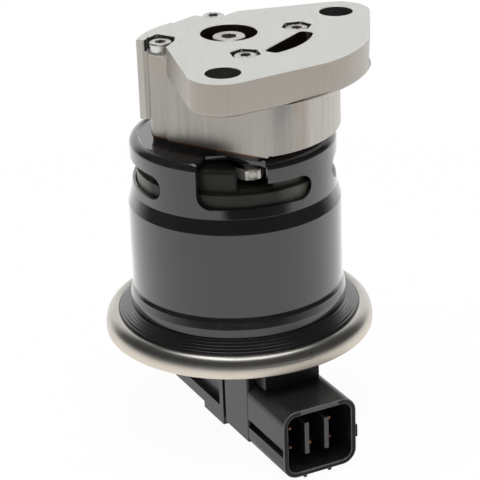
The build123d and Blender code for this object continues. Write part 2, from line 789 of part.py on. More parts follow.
spool_r = sleeve_r + BOBBIN_WALL
with BuildPart() as bobbin:
    turned(
        [
            (sleeve_r, z_bobbin),
            (bobbin_flange_r, z_bobbin),
            (bobbin_flange_r, z_bobbin - BOBBIN_WALL),
            (spool_r, z_bobbin - BOBBIN_WALL),
            (spool_r, z_bobbin_end + BOBBIN_WALL),
            (bobbin_flange_r, z_bobbin_end + BOBBIN_WALL),
            (bobbin_flange_r, z_bobbin_end),
            (sleeve_r, z_bobbin_end),
        ]
    )
bobbin.part.label = "bobbin"
export_step(bobbin.part, "parts/bobbin.step")

with BuildPart() as coil_winding:
    ring(spool_r, coil_r, z_bobbin_end + BOBBIN_WALL, z_bobbin - BOBBIN_WALL)
coil_winding.part.label = "coil_winding"
export_step(coil_winding.part, "parts/coil_winding.step")

with BuildPart() as coil_blades:
    with BuildSketch(level(z_blade_end)):
        with Locations((-coil_blade_s, -COIL_BLADE_U), (-coil_blade_s, COIL_BLADE_U)):
            Rectangle(COIL_BLADE_T, COIL_BLADE_WIDTH)
    extrude(amount=z_bobbin_end - z_blade_end)
coil_blades.part.label = "coil_blades"
export_step(coil_blades.part, "parts/coil_blades.step")

with BuildPart() as coil_cover:
    turned(
        [
            (collar_r, z_cover_top),
            (cover_top_r, z_cover_top, COVER_TOP_CORNER),
            (cover_top_r, z_cover_step),
            (cover_r, z_cover_step),
            (cover_r, z_pole_plate),
            (sleeve_r, z_pole_plate),
            (sleeve_r, z_bobbin_end),
            (bobbin_flange_r, z_bobbin_end),
            (bobbin_flange_r, z_bobbin),
            (collar_r, z_bobbin),
        ]
    )
    with BuildSketch(Plane.XY.offset(z_cover_top)) as nut_bays:
        with PolarLocations(screw_circle, 4, start_angle=45):
            Circle(COVER_NOTCH_R)
            Rectangle(can_lip_r, 2 * COVER_NOTCH_R, align=(Align.MIN, Align.CENTER))
    extrude(nut_bays.sketch, amount=z_screw_end - COVER_WALL - z_cover_top, mode=Mode.SUBTRACT)
    add(coil_blades.part, mode=Mode.SUBTRACT)
coil_cover.part.label = "coil_cover"
export_step(coil_cover.part, "parts/coil_cover.step")

# ---- Armature on the stem, and the pole that pulls it down ----
with BuildPart() as armature:
    turned(
        [
            (STEM_R, z_armature),
            (armature_r, z_armature, ARMATURE_EDGE),
            (armature_r, z_armature_end + ARMATURE_TAPER),
            (armature_r - ARMATURE_TAPER / 2, z_armature_end),
            (spring_pocket_r, z_armature_end),
            (spring_pocket_r, z_web),
            (STEM_R, z_web),
        ]
    )
armature.part.label = "armature"
export_step(armature.part, "parts/armature.step")

with BuildPart() as armature_clip:
    ring(STEM_R, clip_r, z_web - CLIP_T, z_web)
armature_clip.part.label = "armature_clip"
export_step(armature_clip.part, "parts/armature_clip.step")

with BuildPart() as pole_piece:
    turned(
        [
            (spring_pocket_r, z_pole),
            (sleeve_bore, z_pole),
            (sleeve_bore, z_pole_plate),
            (can_bore_lower, z_pole_plate),
            (can_bore_lower, z_can_end),
            (PLUNGER_R + RUNNING, z_can_end),
            (PLUNGER_R + RUNNING, z_pole_plate),
            (spring_pocket_r, z_pole_plate),
        ]
    )
    with BuildSketch(level(z_can_end)) as blade_slots:
        with Locations((-coil_blade_s, -COIL_BLADE_U), (-coil_blade_s, COIL_BLADE_U)):
            Rectangle(COIL_BLADE_T + 2 * AIR_GAP, COIL_BLADE_WIDTH + 2 * AIR_GAP)
    extrude(blade_slots.sketch, amount=POLE_PLATE_T, mode=Mode.SUBTRACT)
pole_piece.part.label = "pole_piece"
export_step(pole_piece.part, "parts/pole_piece.step")

return_spring = coil_spring(return_spring_r, RETURN_WIRE_R, z_pole_plate, z_web, RETURN_TURNS)
return_spring.part.label = "return_spring"
export_step(return_spring.part, "parts/return_spring.step")

# ---- Base flange: ridged ring welded under the can's lip ----
ridges = []
for index in range(RIDGE_COUNT):
    valley_r = can_lip_r + index * RIDGE_PITCH
    valley_z = z_can_end - index * RIDGE_DROP
    ridges.append((valley_r, valley_z))
    ridges.append((valley_r + RIDGE_CREST_START, valley_z + RIDGE_H, RIDGE_CREST_R))
    ridges.append((valley_r + RIDGE_CREST_END, valley_z + RIDGE_H, RIDGE_CREST_R))

with BuildPart() as base_flange:
    turned(
        [(base_inner_r, z_can_end)]
        + ridges
        + [
            (ridge_end_r, z_edge),
            (base_r, z_edge),
            (base_r, z_base_end),
            (base_inner_r, z_base_end),
        ]
    )
base_flange.part.label = "base_flange"
export_step(base_flange.part, "parts/base_flange.step")

with BuildPart() as cap_seal:
    with BuildSketch(Plane.XZ):
        with Locations((cap_seal_r, z_base_end - CAP_SEAL_WIRE_R)):
            Circle(CAP_SEAL_WIRE_R)
    revolve(axis=Axis.Z)
cap_seal.part.label = "cap_seal"
export_step(cap_seal.part, "parts/cap_seal.step")

# ---- Crimp ring: rolled over the base flange and under the cap's flange ----
hem_r = ridge_end_r + CRIMP_HEM_GAP
with BuildPart() as crimp_ring:
    turned(
        [
            (hem_r, z_edge),
            (hem_r, z_crest - CRIMP_HEM_DROP, CRIMP_HEM_EDGE),
            (crimp_r - CRIMP_CREST_INSET, z_crest, CRIMP_CREST_CORNER),
            (crimp_r - CRIMP_SHOULDER_INSET, z_crest - CRIMP_SHOULDER_H, CRIMP_SHOULDER_CORNER),
            (crimp_r, z_crease),
            (crimp_r - CRIMP_SKIRT_INSET, z_crimp_end, CRIMP_END_CORNER),
            (hem_r, z_crimp_end),
            (hem_r, z_cap_flange),
            (base_r, z_cap_flange),
            (base_r, z_edge),
        ]
    )
crimp_ring.part.label = "crimp_ring"
export_step(crimp_ring.part, "parts/crimp_ring.step")

# ---- Lift sensor ----
with BuildPart() as sensor_plunger:
    ring(0, PLUNGER_R, z_carrier - CARRIER_SOCKET, z_stem_end)
    fillet(sensor_plunger.edges().group_by(Axis.Z)[-1], PLUNGER_TIP)
sensor_plunger.part.label = "sensor_plunger"
export_step(sensor_plunger.part, "parts/sensor_plunger.step")

with BuildPart() as wiper_carrier:
    with BuildSketch(level(z_carrier_end)):
        RectangleRounded(CARRIER_LENGTH, CARRIER_WIDTH, CARRIER_CORNER)
    extrude(amount=CARRIER_H)
    ring(0, PLUNGER_R, z_carrier - CARRIER_SOCKET, z_carrier, Mode.SUBTRACT)
    ring(0, PLUNGER_R, z_carrier_end, z_carrier_end + SPRING_SEAT_DEPTH, Mode.SUBTRACT)
wiper_carrier.part.label = "wiper_carrier"
export_step(wiper_carrier.part, "parts/wiper_carrier.step")

board_face = CAVITY_FRONT - BOARD_T
wiper_reach = board_face - AIR_GAP / 2
with BuildPart() as wipers:
    for offset_u in (-WIPER_SPACING / 2, WIPER_SPACING / 2):
        with BuildSketch(flank(offset_u - WIPER_WIDTH / 2)) as finger:
            with BuildLine():
                Polyline(
                    (CARRIER_LENGTH / 2, z_wiper),
                    (wiper_reach - WIPER_BEND, z_wiper),
                    (wiper_reach, z_wiper - WIPER_FINGER_H),
                    (wiper_reach - WIPER_T, z_wiper - WIPER_FINGER_H),
                    (wiper_reach - WIPER_BEND - WIPER_T / 2, z_wiper - WIPER_T),
                    (CARRIER_LENGTH / 2, z_wiper - WIPER_T),
                    close=True,
                )
            make_face()
        extrude(finger.sketch, amount=-WIPER_WIDTH)
wipers.part.label = "wipers"
export_step(wipers.part, "parts/wipers.step")

sensor_spring = coil_spring(SENSOR_SPRING_R, SENSOR_WIRE_R, z_cavity, z_carrier_end, SENSOR_TURNS)
sensor_spring.part.label = "sensor_spring"
export_step(sensor_spring.part, "parts/sensor_spring.step")

with BuildPart() as resistor_board:
    with BuildSketch(station(board_face)):
        with Locations((0, z_cavity + BOARD_H / 2)):
            Rectangle(2 * board_half_width, BOARD_H)
    extrude(amount=BOARD_T)
resistor_board.part.label = "resistor_board"
export_step(resistor_board.part, "parts/resistor_board.step")

pin_places = [
    (-PIN_COLUMN, z_pins),
    (PIN_COLUMN, z_pins),
    (-PIN_COLUMN, z_pins - PIN_ROW),
    (0, z_pins - PIN_ROW),
    (PIN_COLUMN, z_pins - PIN_ROW),
]
with BuildPart() as terminals:
    with BuildSketch(station(CAVITY_FRONT)):
        with Locations(*pin_places):
            Rectangle(PIN_SIDE, PIN_SIDE)
    extrude(amount=shroud_mouth - PIN_MOUTH_GAP - CAVITY_FRONT)
    chamfer(terminals.edges().group_by(Axis((0, 0, 0), along))[-1], PIN_TIP)
terminals.part.label = "terminals"
export_step(terminals.part, "parts/terminals.step")

# ---- Sensor cap with the connector shroud ----
z_shroud_middle = (z_shroud + z_shroud_end) / 2

with BuildPart() as sensor_cap:
    with BuildSketch(level(z_cap_end)) as block:
        box_between((-CAP_REAR, CAP_FRONT), (-CAP_HALF_WIDTH, CAP_HALF_WIDTH))
    extrude(block.sketch, amount=CAP_H)
    fillet(sensor_cap.edges().filter_by(Axis.Z), CAP_CORNER_R)
    ring(0, base_r, z_cap_flange, z_base_end)
    ring(0, base_inner_r, z_base_end, z_can_end - AIR_GAP)
    # foot under the block
    with BuildSketch(level(z_cap_end)) as foot:
        box_between((-CAP_FOOT_REAR, CAP_FOOT_FRONT), (-CAP_HALF_WIDTH, CAP_HALF_WIDTH))
    extrude(foot.sketch, amount=-CAP_FOOT_H)
    # bridge over the shroud, then the shroud itself
    with BuildSketch(level(z_shroud - SHROUD_CORNER_R)) as bridge:
        box_between((CAP_FRONT, bridge_front), (-BRIDGE_HALF_WIDTH, BRIDGE_HALF_WIDTH))
    extrude(bridge.sketch, amount=SHROUD_CORNER_R + SHROUD_DROP)
    with BuildSketch(station(CAP_FRONT)) as shroud:
        with Locations((0, z_shroud_middle)):
            RectangleRounded(2 * CAP_HALF_WIDTH, SHROUD_H, SHROUD_CORNER_R)
    extrude(shroud.sketch, amount=SHROUD_LENGTH)
    with BuildSketch(station(shroud_floor)) as socket:
        with Locations((0, z_shroud_middle)):
            RectangleRounded(
                2 * (CAP_HALF_WIDTH - SHROUD_WALL),
                SHROUD_H - 2 * SHROUD_WALL,
                SHROUD_CORNER_R - SHROUD_WALL,
            )
    extrude(socket.sketch, amount=SHROUD_DEPTH, mode=Mode.SUBTRACT)
    with BuildSketch(station(shroud_floor)) as dividers:
        for column in (-DIVIDER_U, DIVIDER_U):
            box_between(
                (column - DIVIDER_T / 2, column + DIVIDER_T / 2),
                (z_divider - DIVIDER_H, z_divider),
            )
    extrude(dividers.sketch, amount=SHROUD_DEPTH - DIVIDER_MOUTH_GAP)
    # recessed flanks, grooves and rails, alike on both sides
    for face, inwards in ((-CAP_HALF_WIDTH, -1), (CAP_HALF_WIDTH, 1)):
        with BuildSketch(flank(face)) as recess:
            box_between((-CAP_REAR, CAP_RECESS_FRONT), (z_ledge, z_cap_flange))
        extrude(recess.sketch, amount=inwards * CAP_RECESS, mode=Mode.SUBTRACT)
        with BuildSketch(flank(face)) as groove:
            box_between(
                (CAP_GROOVE_FRONT - CAP_GROOVE_WIDTH, CAP_GROOVE_FRONT),
                (z_cap_end - CAP_FOOT_H, z_cap_flange),
            )
            box_between((CAP_FRONT, shroud_mouth - RAIL_MOUTH_GAP), (z_rail - RAIL_H, z_rail))
        extrude(groove.sketch, amount=inwards * RAIL_DEPTH, mode=Mode.SUBTRACT)
    with BuildSketch(flank(CAP_HALF_WIDTH)) as lug:
        lug_end = shroud_mouth - LUG_MOUTH_GAP
        box_between((lug_end - LUG_LENGTH, lug_end), (z_lug - LUG_H / 2, z_lug + LUG_H / 2))
    extrude(lug.sketch, amount=-LUG_DEPTH)
    # two ramps under the mouth
    nub_end = shroud_mouth - NUB_MOUTH_GAP
    for offset_u in NUB_PLACES:
        with BuildSketch(flank(offset_u - NUB_T / 2)) as nub:
            with BuildLine():
                Polyline(
                    (nub_end - NUB_LENGTH, z_shroud_end + SHROUD_WALL / 2),
                    (nub_end, z_shroud_end + SHROUD_WALL / 2),
                    (nub_end, z_shroud_end - NUB_DEPTH),
                    close=True,
                )
            make_face()
        extrude(nub.sketch, amount=-NUB_T)
    # sensor cavity, seal groove and moulded-in metal
    with BuildSketch(level(z_cavity)) as cavity:
        box_between((-CAVITY_REAR, CAVITY_FRONT), (-cavity_half_width, cavity_half_width))
    extrude(cavity.sketch, amount=z_can_end - z_cavity, mode=Mode.SUBTRACT)
    ring(
        cap_seal_r - CAP_SEAL_WIRE_R - AIR_GAP,
        cap_seal_r + CAP_SEAL_WIRE_R + AIR_GAP,
        z_base_end - 2 * CAP_SEAL_WIRE_R,
        z_base_end,
        Mode.SUBTRACT,
    )
    add(terminals.part, mode=Mode.SUBTRACT)
    add(coil_blades.part, mode=Mode.SUBTRACT)
sensor_cap.part.label = "sensor_cap"
export_step(sensor_cap.part, "parts/sensor_cap.step")
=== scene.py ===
from math import cos, radians, sin, tau

import bmesh
import bpy
from mathutils import Matrix, Vector


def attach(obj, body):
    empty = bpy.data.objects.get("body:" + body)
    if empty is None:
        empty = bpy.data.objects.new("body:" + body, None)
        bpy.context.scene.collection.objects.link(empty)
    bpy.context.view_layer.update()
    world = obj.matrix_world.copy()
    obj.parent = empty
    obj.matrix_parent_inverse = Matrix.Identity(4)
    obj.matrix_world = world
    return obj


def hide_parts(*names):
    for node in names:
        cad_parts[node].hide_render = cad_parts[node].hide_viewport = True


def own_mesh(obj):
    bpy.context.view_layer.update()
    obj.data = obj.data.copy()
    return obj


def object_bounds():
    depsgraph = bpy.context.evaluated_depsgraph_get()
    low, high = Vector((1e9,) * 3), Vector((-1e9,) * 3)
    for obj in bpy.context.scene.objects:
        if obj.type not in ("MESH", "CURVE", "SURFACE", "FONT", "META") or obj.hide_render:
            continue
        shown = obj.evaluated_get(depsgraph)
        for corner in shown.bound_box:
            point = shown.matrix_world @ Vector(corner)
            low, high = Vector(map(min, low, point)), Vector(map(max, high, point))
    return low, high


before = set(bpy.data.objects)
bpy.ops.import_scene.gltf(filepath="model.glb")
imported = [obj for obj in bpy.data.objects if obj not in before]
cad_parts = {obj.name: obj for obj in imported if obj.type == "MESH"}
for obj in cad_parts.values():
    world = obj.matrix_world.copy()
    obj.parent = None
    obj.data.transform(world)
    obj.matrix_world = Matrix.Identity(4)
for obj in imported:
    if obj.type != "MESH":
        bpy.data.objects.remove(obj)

cad_box = [list(corner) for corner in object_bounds()]
MM = 0.001


# ---- Table and studio ----
# A pale sweep under the valve with the light of a product bench: a bright table and walls, a dark
# upper room, and one large soft panel overhead. The camera looks down on it from the right.
CAMERA_PLACE = Vector((254.62, -400.69, 147.65)) * MM
CAMERA_TURN = radians(32.324)
CAMERA_TILT = radians(23.459)
CAMERA_ROLL = radians(-2.121)
LENS = 143.92
TABLE_GAP = 0.0005
TABLE_R = 0.22
TABLE_SIDES = 96
SHADE_X = 60.0 * MM
SHADE_Y = -12.0 * MM
SHADE_INNER_R = 25.0 * MM
SHADE_OUTER_R = 55.0 * MM
CARD_TONE = (0.86, 0.86, 0.86)
CARD_SHADE = (0.25, 0.25, 0.25)


def camera_axes():
    """The camera's right, up and back directions in the row frame."""
    back = Vector((
        sin(CAMERA_TURN) * cos(CAMERA_TILT),
        -cos(CAMERA_TURN) * cos(CAMERA_TILT),
        sin(CAMERA_TILT),
    ))
    level = Vector((cos(CAMERA_TURN), sin(CAMERA_TURN), 0))
    over = back.cross(level)
    right = level * cos(CAMERA_ROLL) + over * sin(CAMERA_ROLL)
    up = over * cos(CAMERA_ROLL) - level * sin(CAMERA_ROLL)
    return right, up, back


camera = bpy.data.objects.new("camera", bpy.data.cameras.new("camera"))
bpy.context.scene.collection.objects.link(camera)
camera.data.lens = LENS
camera.data.sensor_width = 36.0
camera.data.clip_start = 0.01
camera.data.clip_end = 20.0
camera.matrix_world = Matrix.Translation(CAMERA_PLACE) @ Matrix(camera_axes()).transposed().to_4x4()
bpy.context.scene.camera = camera
bpy.context.scene.view_settings.view_transform = "Standard"


class Tone:
    """One number or colour on its way through a finish; arithmetic on it adds the nodes."""

    def __init__(self, finish, socket):
        self.finish = finish
        self.socket = socket

    def maths(self, operation, first, second=None):
        values = {0: first} if second is None else {0: first, 1: second}
        return self.finish.node("ShaderNodeMath", {"operation": operation}, values)

    def __add__(self, other):
        return self.maths("ADD", self, other)

    def __sub__(self, other):
        return self.maths("SUBTRACT", self, other)

    def __rsub__(self, other):
        return self.maths("SUBTRACT", other, self)

    def __mul__(self, other):
        return self.maths("MULTIPLY", self, other)

    def __truediv__(self, other):
        return self.maths("DIVIDE", self, other)

    def __pow__(self, other):
        return self.maths("POWER", self, other)

    def __gt__(self, other):
        return self.maths("GREATER_THAN", self, other)

    def __lt__(self, other):
        return self.maths("LESS_THAN", self, other)

    __radd__ = __add__
    __rmul__ = __mul__

    def size(self):
        return self.maths("ABSOLUTE", self)

    def arc(self, across):
        """The angle of this length over another, as a turn about the axis."""
        return self.maths("ARCTAN2", self, across)

    def ramp(self, low, high, start=0.0, end=1.0):
        """Carry this tone from low..high to start..end, held at both ends."""
        return self.finish.node(
            "ShaderNodeMapRange", {"clamp": True},
            {"Value": self, "From Min": low, "From Max": high, "To Min": start, "To Max": end},
        )


class Finish:
    """A node-built surface. Tones feed its shader; plain values sit on the shader's own sockets."""

    def __init__(self, name, tree=None):
        if tree is None:
            self.material = bpy.data.materials.new(name)
            self.material.use_nodes = True
            tree = self.material.node_tree
            self.shader = tree.nodes["Principled BSDF"]
        self.tree = tree

    def node(self, kind, settings=None, values=None, output=0):
        """Add a node: its settings first, then the values or links of its sockets."""
        made = self.tree.nodes.new(kind)
        for key, value in (settings or {}).items():
            setattr(made, key, value)
        for key, value in (values or {}).items():
            self.join(value, made.inputs[key])
        return Tone(self, made.outputs[output])

    def join(self, value, socket):
        if isinstance(value, Tone):
            self.tree.links.new(value.socket, socket)
        else:
            socket.default_value = value

    def place(self):
        """The point's place on the object, in metres."""
        return self.node("ShaderNodeTexCoord", output="Object")

    def facing(self):
        """x, y and z of the surface's outward direction."""
        normal = self.node("ShaderNodeNewGeometry", output="Normal")
        return self.split(normal)

    def split(self, vector):
        parts = self.node("ShaderNodeSeparateXYZ", values={"Vector": vector})
        return [Tone(self, parts.socket.node.outputs[axis]) for axis in "XYZ"]

    def vector(self, x, y, z):
        return self.node("ShaderNodeCombineXYZ", values={"X": x, "Y": y, "Z": z})

    def noise(self, vector, scale, detail=2.0, roughness=0.5):
        return self.node(
            "ShaderNodeTexNoise", values={
                "Vector": vector, "Scale": scale, "Detail": detail, "Roughness": roughness,
            },
        )

    def mix(self, amount, first, second):
        """Blend two colours."""
        made = self.node("ShaderNodeMix", {"data_type": "RGBA"}).socket.node
        self.join(amount, made.inputs[0])
        self.join(self.colour(first), made.inputs[6])
        self.join(self.colour(second), made.inputs[7])
        return Tone(self, made.outputs[2])

    def colour(self, value):
        return value if isinstance(value, Tone) else (*value, 1.0)

    def bump(self, height, strength, distance):
        return self.node(
            "ShaderNodeBump", values={"Height": height, "Strength": strength, "Distance": distance},
        )

    def surface(self, **sockets):
        """Set the shader's sockets by name, with spaces written as underscores."""
        for key, value in sockets.items():
            socket = self.shader.inputs[key.replace("_", " ")]
            self.join(self.colour(value) if key == "Base_Color" else value, socket)
        return self.material


def studio_world():
    """Bright table and walls, a dark upper room; the camera itself sees plain white."""
    world = bpy.data.worlds.new("studio")
    world.use_nodes = True
    bpy.context.scene.world = world
    light = Finish("studio", world.node_tree)
    ground = world.node_tree.nodes["Background"]
    ground.inputs["Color"].default_value = (1.0, 1.0, 1.0, 1.0)
    x, y, height = light.split(light.node("ShaderNodeTexCoord", output="Generated"))
    away = y * cos(CAMERA_TURN) - x * sin(CAMERA_TURN)
    sweep = away.ramp(0.50, 0.78) * height.ramp(0.50, 0.75, 0.95, 0.0)
    counter = height.ramp(-0.20, -0.09, 1.0, 0.045)
    overhead = height.ramp(0.89, 0.94, 0.0, 2.2)
    room = sweep + (1 - sweep) * counter + overhead
    seen = light.node("ShaderNodeLightPath", output="Is Camera Ray")
    light.join(seen + (1 - seen) * room, ground.inputs["Strength"])


studio_world()


def panel(name, place, aim, width, height, power, tint=(1.0, 1.0, 1.0)):
    """A soft rectangular lamp that faces a point of the object."""
    lamp = bpy.data.lights.new(name, "AREA")
    lamp.shape = "RECTANGLE"
    lamp.size = width
    lamp.size_y = height
    lamp.energy = power
    lamp.color = tint
    body = bpy.data.objects.new(name, lamp)
    bpy.context.scene.collection.objects.link(body)
    body.location = place
    body.rotation_euler = (Vector(aim) - Vector(place)).to_track_quat("-Z", "Y").to_euler()
    body.visible_glossy = False
    return body


panel("overhead_panel", (0.05, -0.10, 0.75), (0.0, 0.0, -0.05), 0.70, 0.70, 5.0)
panel("left_panel", (-0.55, -0.55, 0.10), (0.0, 0.0, -0.06), 0.45, 0.70, 2.0)
panel("right_panel", (0.75, -0.20, 0.15), (0.0, 0.0, -0.06), 0.35, 0.60, 1.0, (1.0, 0.97, 0.93))

table_mesh = bpy.data.meshes.new("table")
table_z = cad_box[0][2] - TABLE_GAP
table_mesh.from_pydata(
    [(TABLE_R * cos(tau * i / TABLE_SIDES), TABLE_R * sin(tau * i / TABLE_SIDES), table_z)
     for i in range(TABLE_SIDES)],
    [], [tuple(range(TABLE_SIDES))],
)
table = bpy.data.objects.new("table", table_mesh)
bpy.context.scene.collection.objects.link(table)


def table_finish():
    """White card with a soft shadow. Its reflections are darker close under the socket."""
    card = Finish("table_card")
    x, y, z = card.split(card.place())
    near = ((x - SHADE_X) ** 2 + (y - SHADE_Y) ** 2) ** 0.5
    seen = card.node("ShaderNodeLightPath", output="Is Camera Ray")
    gloss = card.node("ShaderNodeLightPath", output="Is Glossy Ray")
    through = card.node("ShaderNodeLightPath", output="Is Transmission Ray")
    glow = card.node("ShaderNodeEmission", values={"Color": (1, 1, 1, 1), "Strength": 1.0})
    tone = card.mix(gloss * near.ramp(SHADE_INNER_R, SHADE_OUTER_R, 1.0, 0.0), CARD_TONE, CARD_SHADE)
    card.surface(Base_Color=tone, Roughness=0.9)
    inside = near.ramp(SHADE_INNER_R, SHADE_OUTER_R, -0.45, 0.45)
    amount = 0.5 + seen * 0.46 + (gloss + through) * inside
    blend = card.node("ShaderNodeMixShader", values={0: amount, 2: glow})
    card.join(Tone(card, card.shader.outputs[0]), blend.socket.node.inputs[1])
    card.join(blend, card.tree.nodes["Material Output"].inputs["Surface"])
    return card.material


table_mesh.materials.append(table_finish())


# ---- Gas housing ----
# One casting holds the two-bolt flange, the port block and the rear rib. Its joint face is lapped,
# its sides are milled, and sharp edges are only lightly broken.
HOUSING_EDGE = 0.20 * MM
LAPPED_TONE = (0.585, 0.59, 0.555)
MILLED_TONE = (0.45, 0.42, 0.385)
FLANGE_TONE = (0.47, 0.425, 0.37)
HIGHLIGHT_TONE = (0.86, 0.83, 0.77)
HEAT_TAN = (0.47, 0.33, 0.22)
HEAT_BLUE = (0.265, 0.262, 0.255)
MILLED_DARK = (0.26, 0.245, 0.225)
BORE_SHADE = (0.050, 0.049, 0.046)
GAS_SOOT = (0.016, 0.012, 0.009)
FLANGE_T = 8.5 * MM
BOLT_X = 15.86 * MM
BOLT_Y = 28.33 * MM
BOLT_HOLE_R = 4.5 * MM
PORT_R = 7.45 * MM
POCKET_R = 4.15 * MM
POCKET_DEPTH = 3.2 * MM
POCKET_REACH = 12.78 * MM
SLOT_INNER_X = 16.05 * MM
SLOT_OUTER_R = 21.85 * MM
SLOT_HALF_Y = 9.4 * MM
SKIN = 0.1 * MM
BORE_SKIN = 0.05 * MM
FACE_SKIN = 0.25 * MM
PORT_HALO = 0.9 * MM
SLOT_HALO = 0.5 * MM
SLOT_HALO_Y = 0.4 * MM
BLUE_TURN = radians(-31.5)
BLUE_CORE = radians(1.0)
BLUE_REACH = radians(9.0)
BLUE_TOP_Z = -12.0 * MM
BLUE_END_Z = -23.0 * MM
TAN_TURN = radians(-20.5)
TAN_CORE = radians(2.5)
TAN_REACH = radians(6.5)
TAN_TOP_Z = -9.0 * MM
TAN_FULL_Z = -14.0 * MM
NOSE_LIGHT_START = radians(-19.0)
NOSE_LIGHT_FULL = radians(-13.0)
LIGHT_START = radians(-12.0)
LIGHT_FULL = radians(18.0)
WING_LIGHT_WAY = (0.845, 0.534)
WING_LIGHT_REACH = -22.3 * MM
EDGE_HIGHLIGHT_DULL = (0.66, 0.63, 0.58)
MERGE_GAP = 2e-6
SLIVER = 4e-6
FLAT_ANGLE = radians(0.02)
BROAD_FACE = 1.0 * MM * MM


def joined_runs(edges):
    """The edges in runs that touch one another, so that each run is broken by itself."""
    left = set(edges)
    runs = []
    for first in edges:
        if first in left:
            left.discard(first)
            run = [first]
            for edge in run:
                more = [e for point in edge.verts for e in point.link_edges if e in left]
                left.difference_update(more)
                run += list(dict.fromkeys(more))
            runs.append(run)
    return runs


def soften(node, edge, body="valve_body", steps=2, limit=32, crease=None, settle=None, highlight_edges=False):
    """A copy of a CAD node with its sharp edges broken to a small radius.

    A crease angle keeps the lighter bends between two broad faces crisp, settle moves a point,
    and the last flag puts the broken edges in the piece's second material, which carries a painted
    highlight.
    """
    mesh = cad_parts[node].data.copy()
    mesh.materials.clear()
    shape = bmesh.new()
    shape.from_mesh(mesh)
    bmesh.ops.remove_doubles(shape, verts=shape.verts, dist=MERGE_GAP)
    bmesh.ops.dissolve_limit(
        shape, angle_limit=FLAT_ANGLE, verts=shape.verts, edges=shape.edges, delimit=set()
    )
    if settle:
        for point in shape.verts:
            point.co = settle(point.co)
    sharp = [e for e in shape.edges if e.is_manifold and e.calc_face_angle(0.0) > radians(limit)]
    for run in joined_runs(sharp):
        bmesh.ops.bevel(
            shape, geom=[e for e in run if e.is_valid], offset=edge, offset_type="OFFSET", segments=steps,
            profile=0.5, affect="EDGES", clamp_overlap=True, material=1 if highlight_edges else -1,
        )
    bmesh.ops.dissolve_degenerate(shape, dist=SLIVER, edges=shape.edges)
    for face in shape.faces:
        face.smooth = True
    if crease:
        for e in shape.edges:
            if e.is_manifold and min(f.calc_area() for f in e.link_faces) > BROAD_FACE:
                e.smooth = e.calc_face_angle(0.0) < radians(crease)
    shape.to_mesh(mesh)
    shape.free()
    piece = bpy.data.objects.new(node + "_body", mesh)
    bpy.context.scene.collection.objects.link(piece)
    weighted = piece.modifiers.new("weighted", "WEIGHTED_NORMAL")
    weighted.mode = "FACE_AREA"
    weighted.keep_sharp = True
    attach(piece, body)
    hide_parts(node)
    return piece


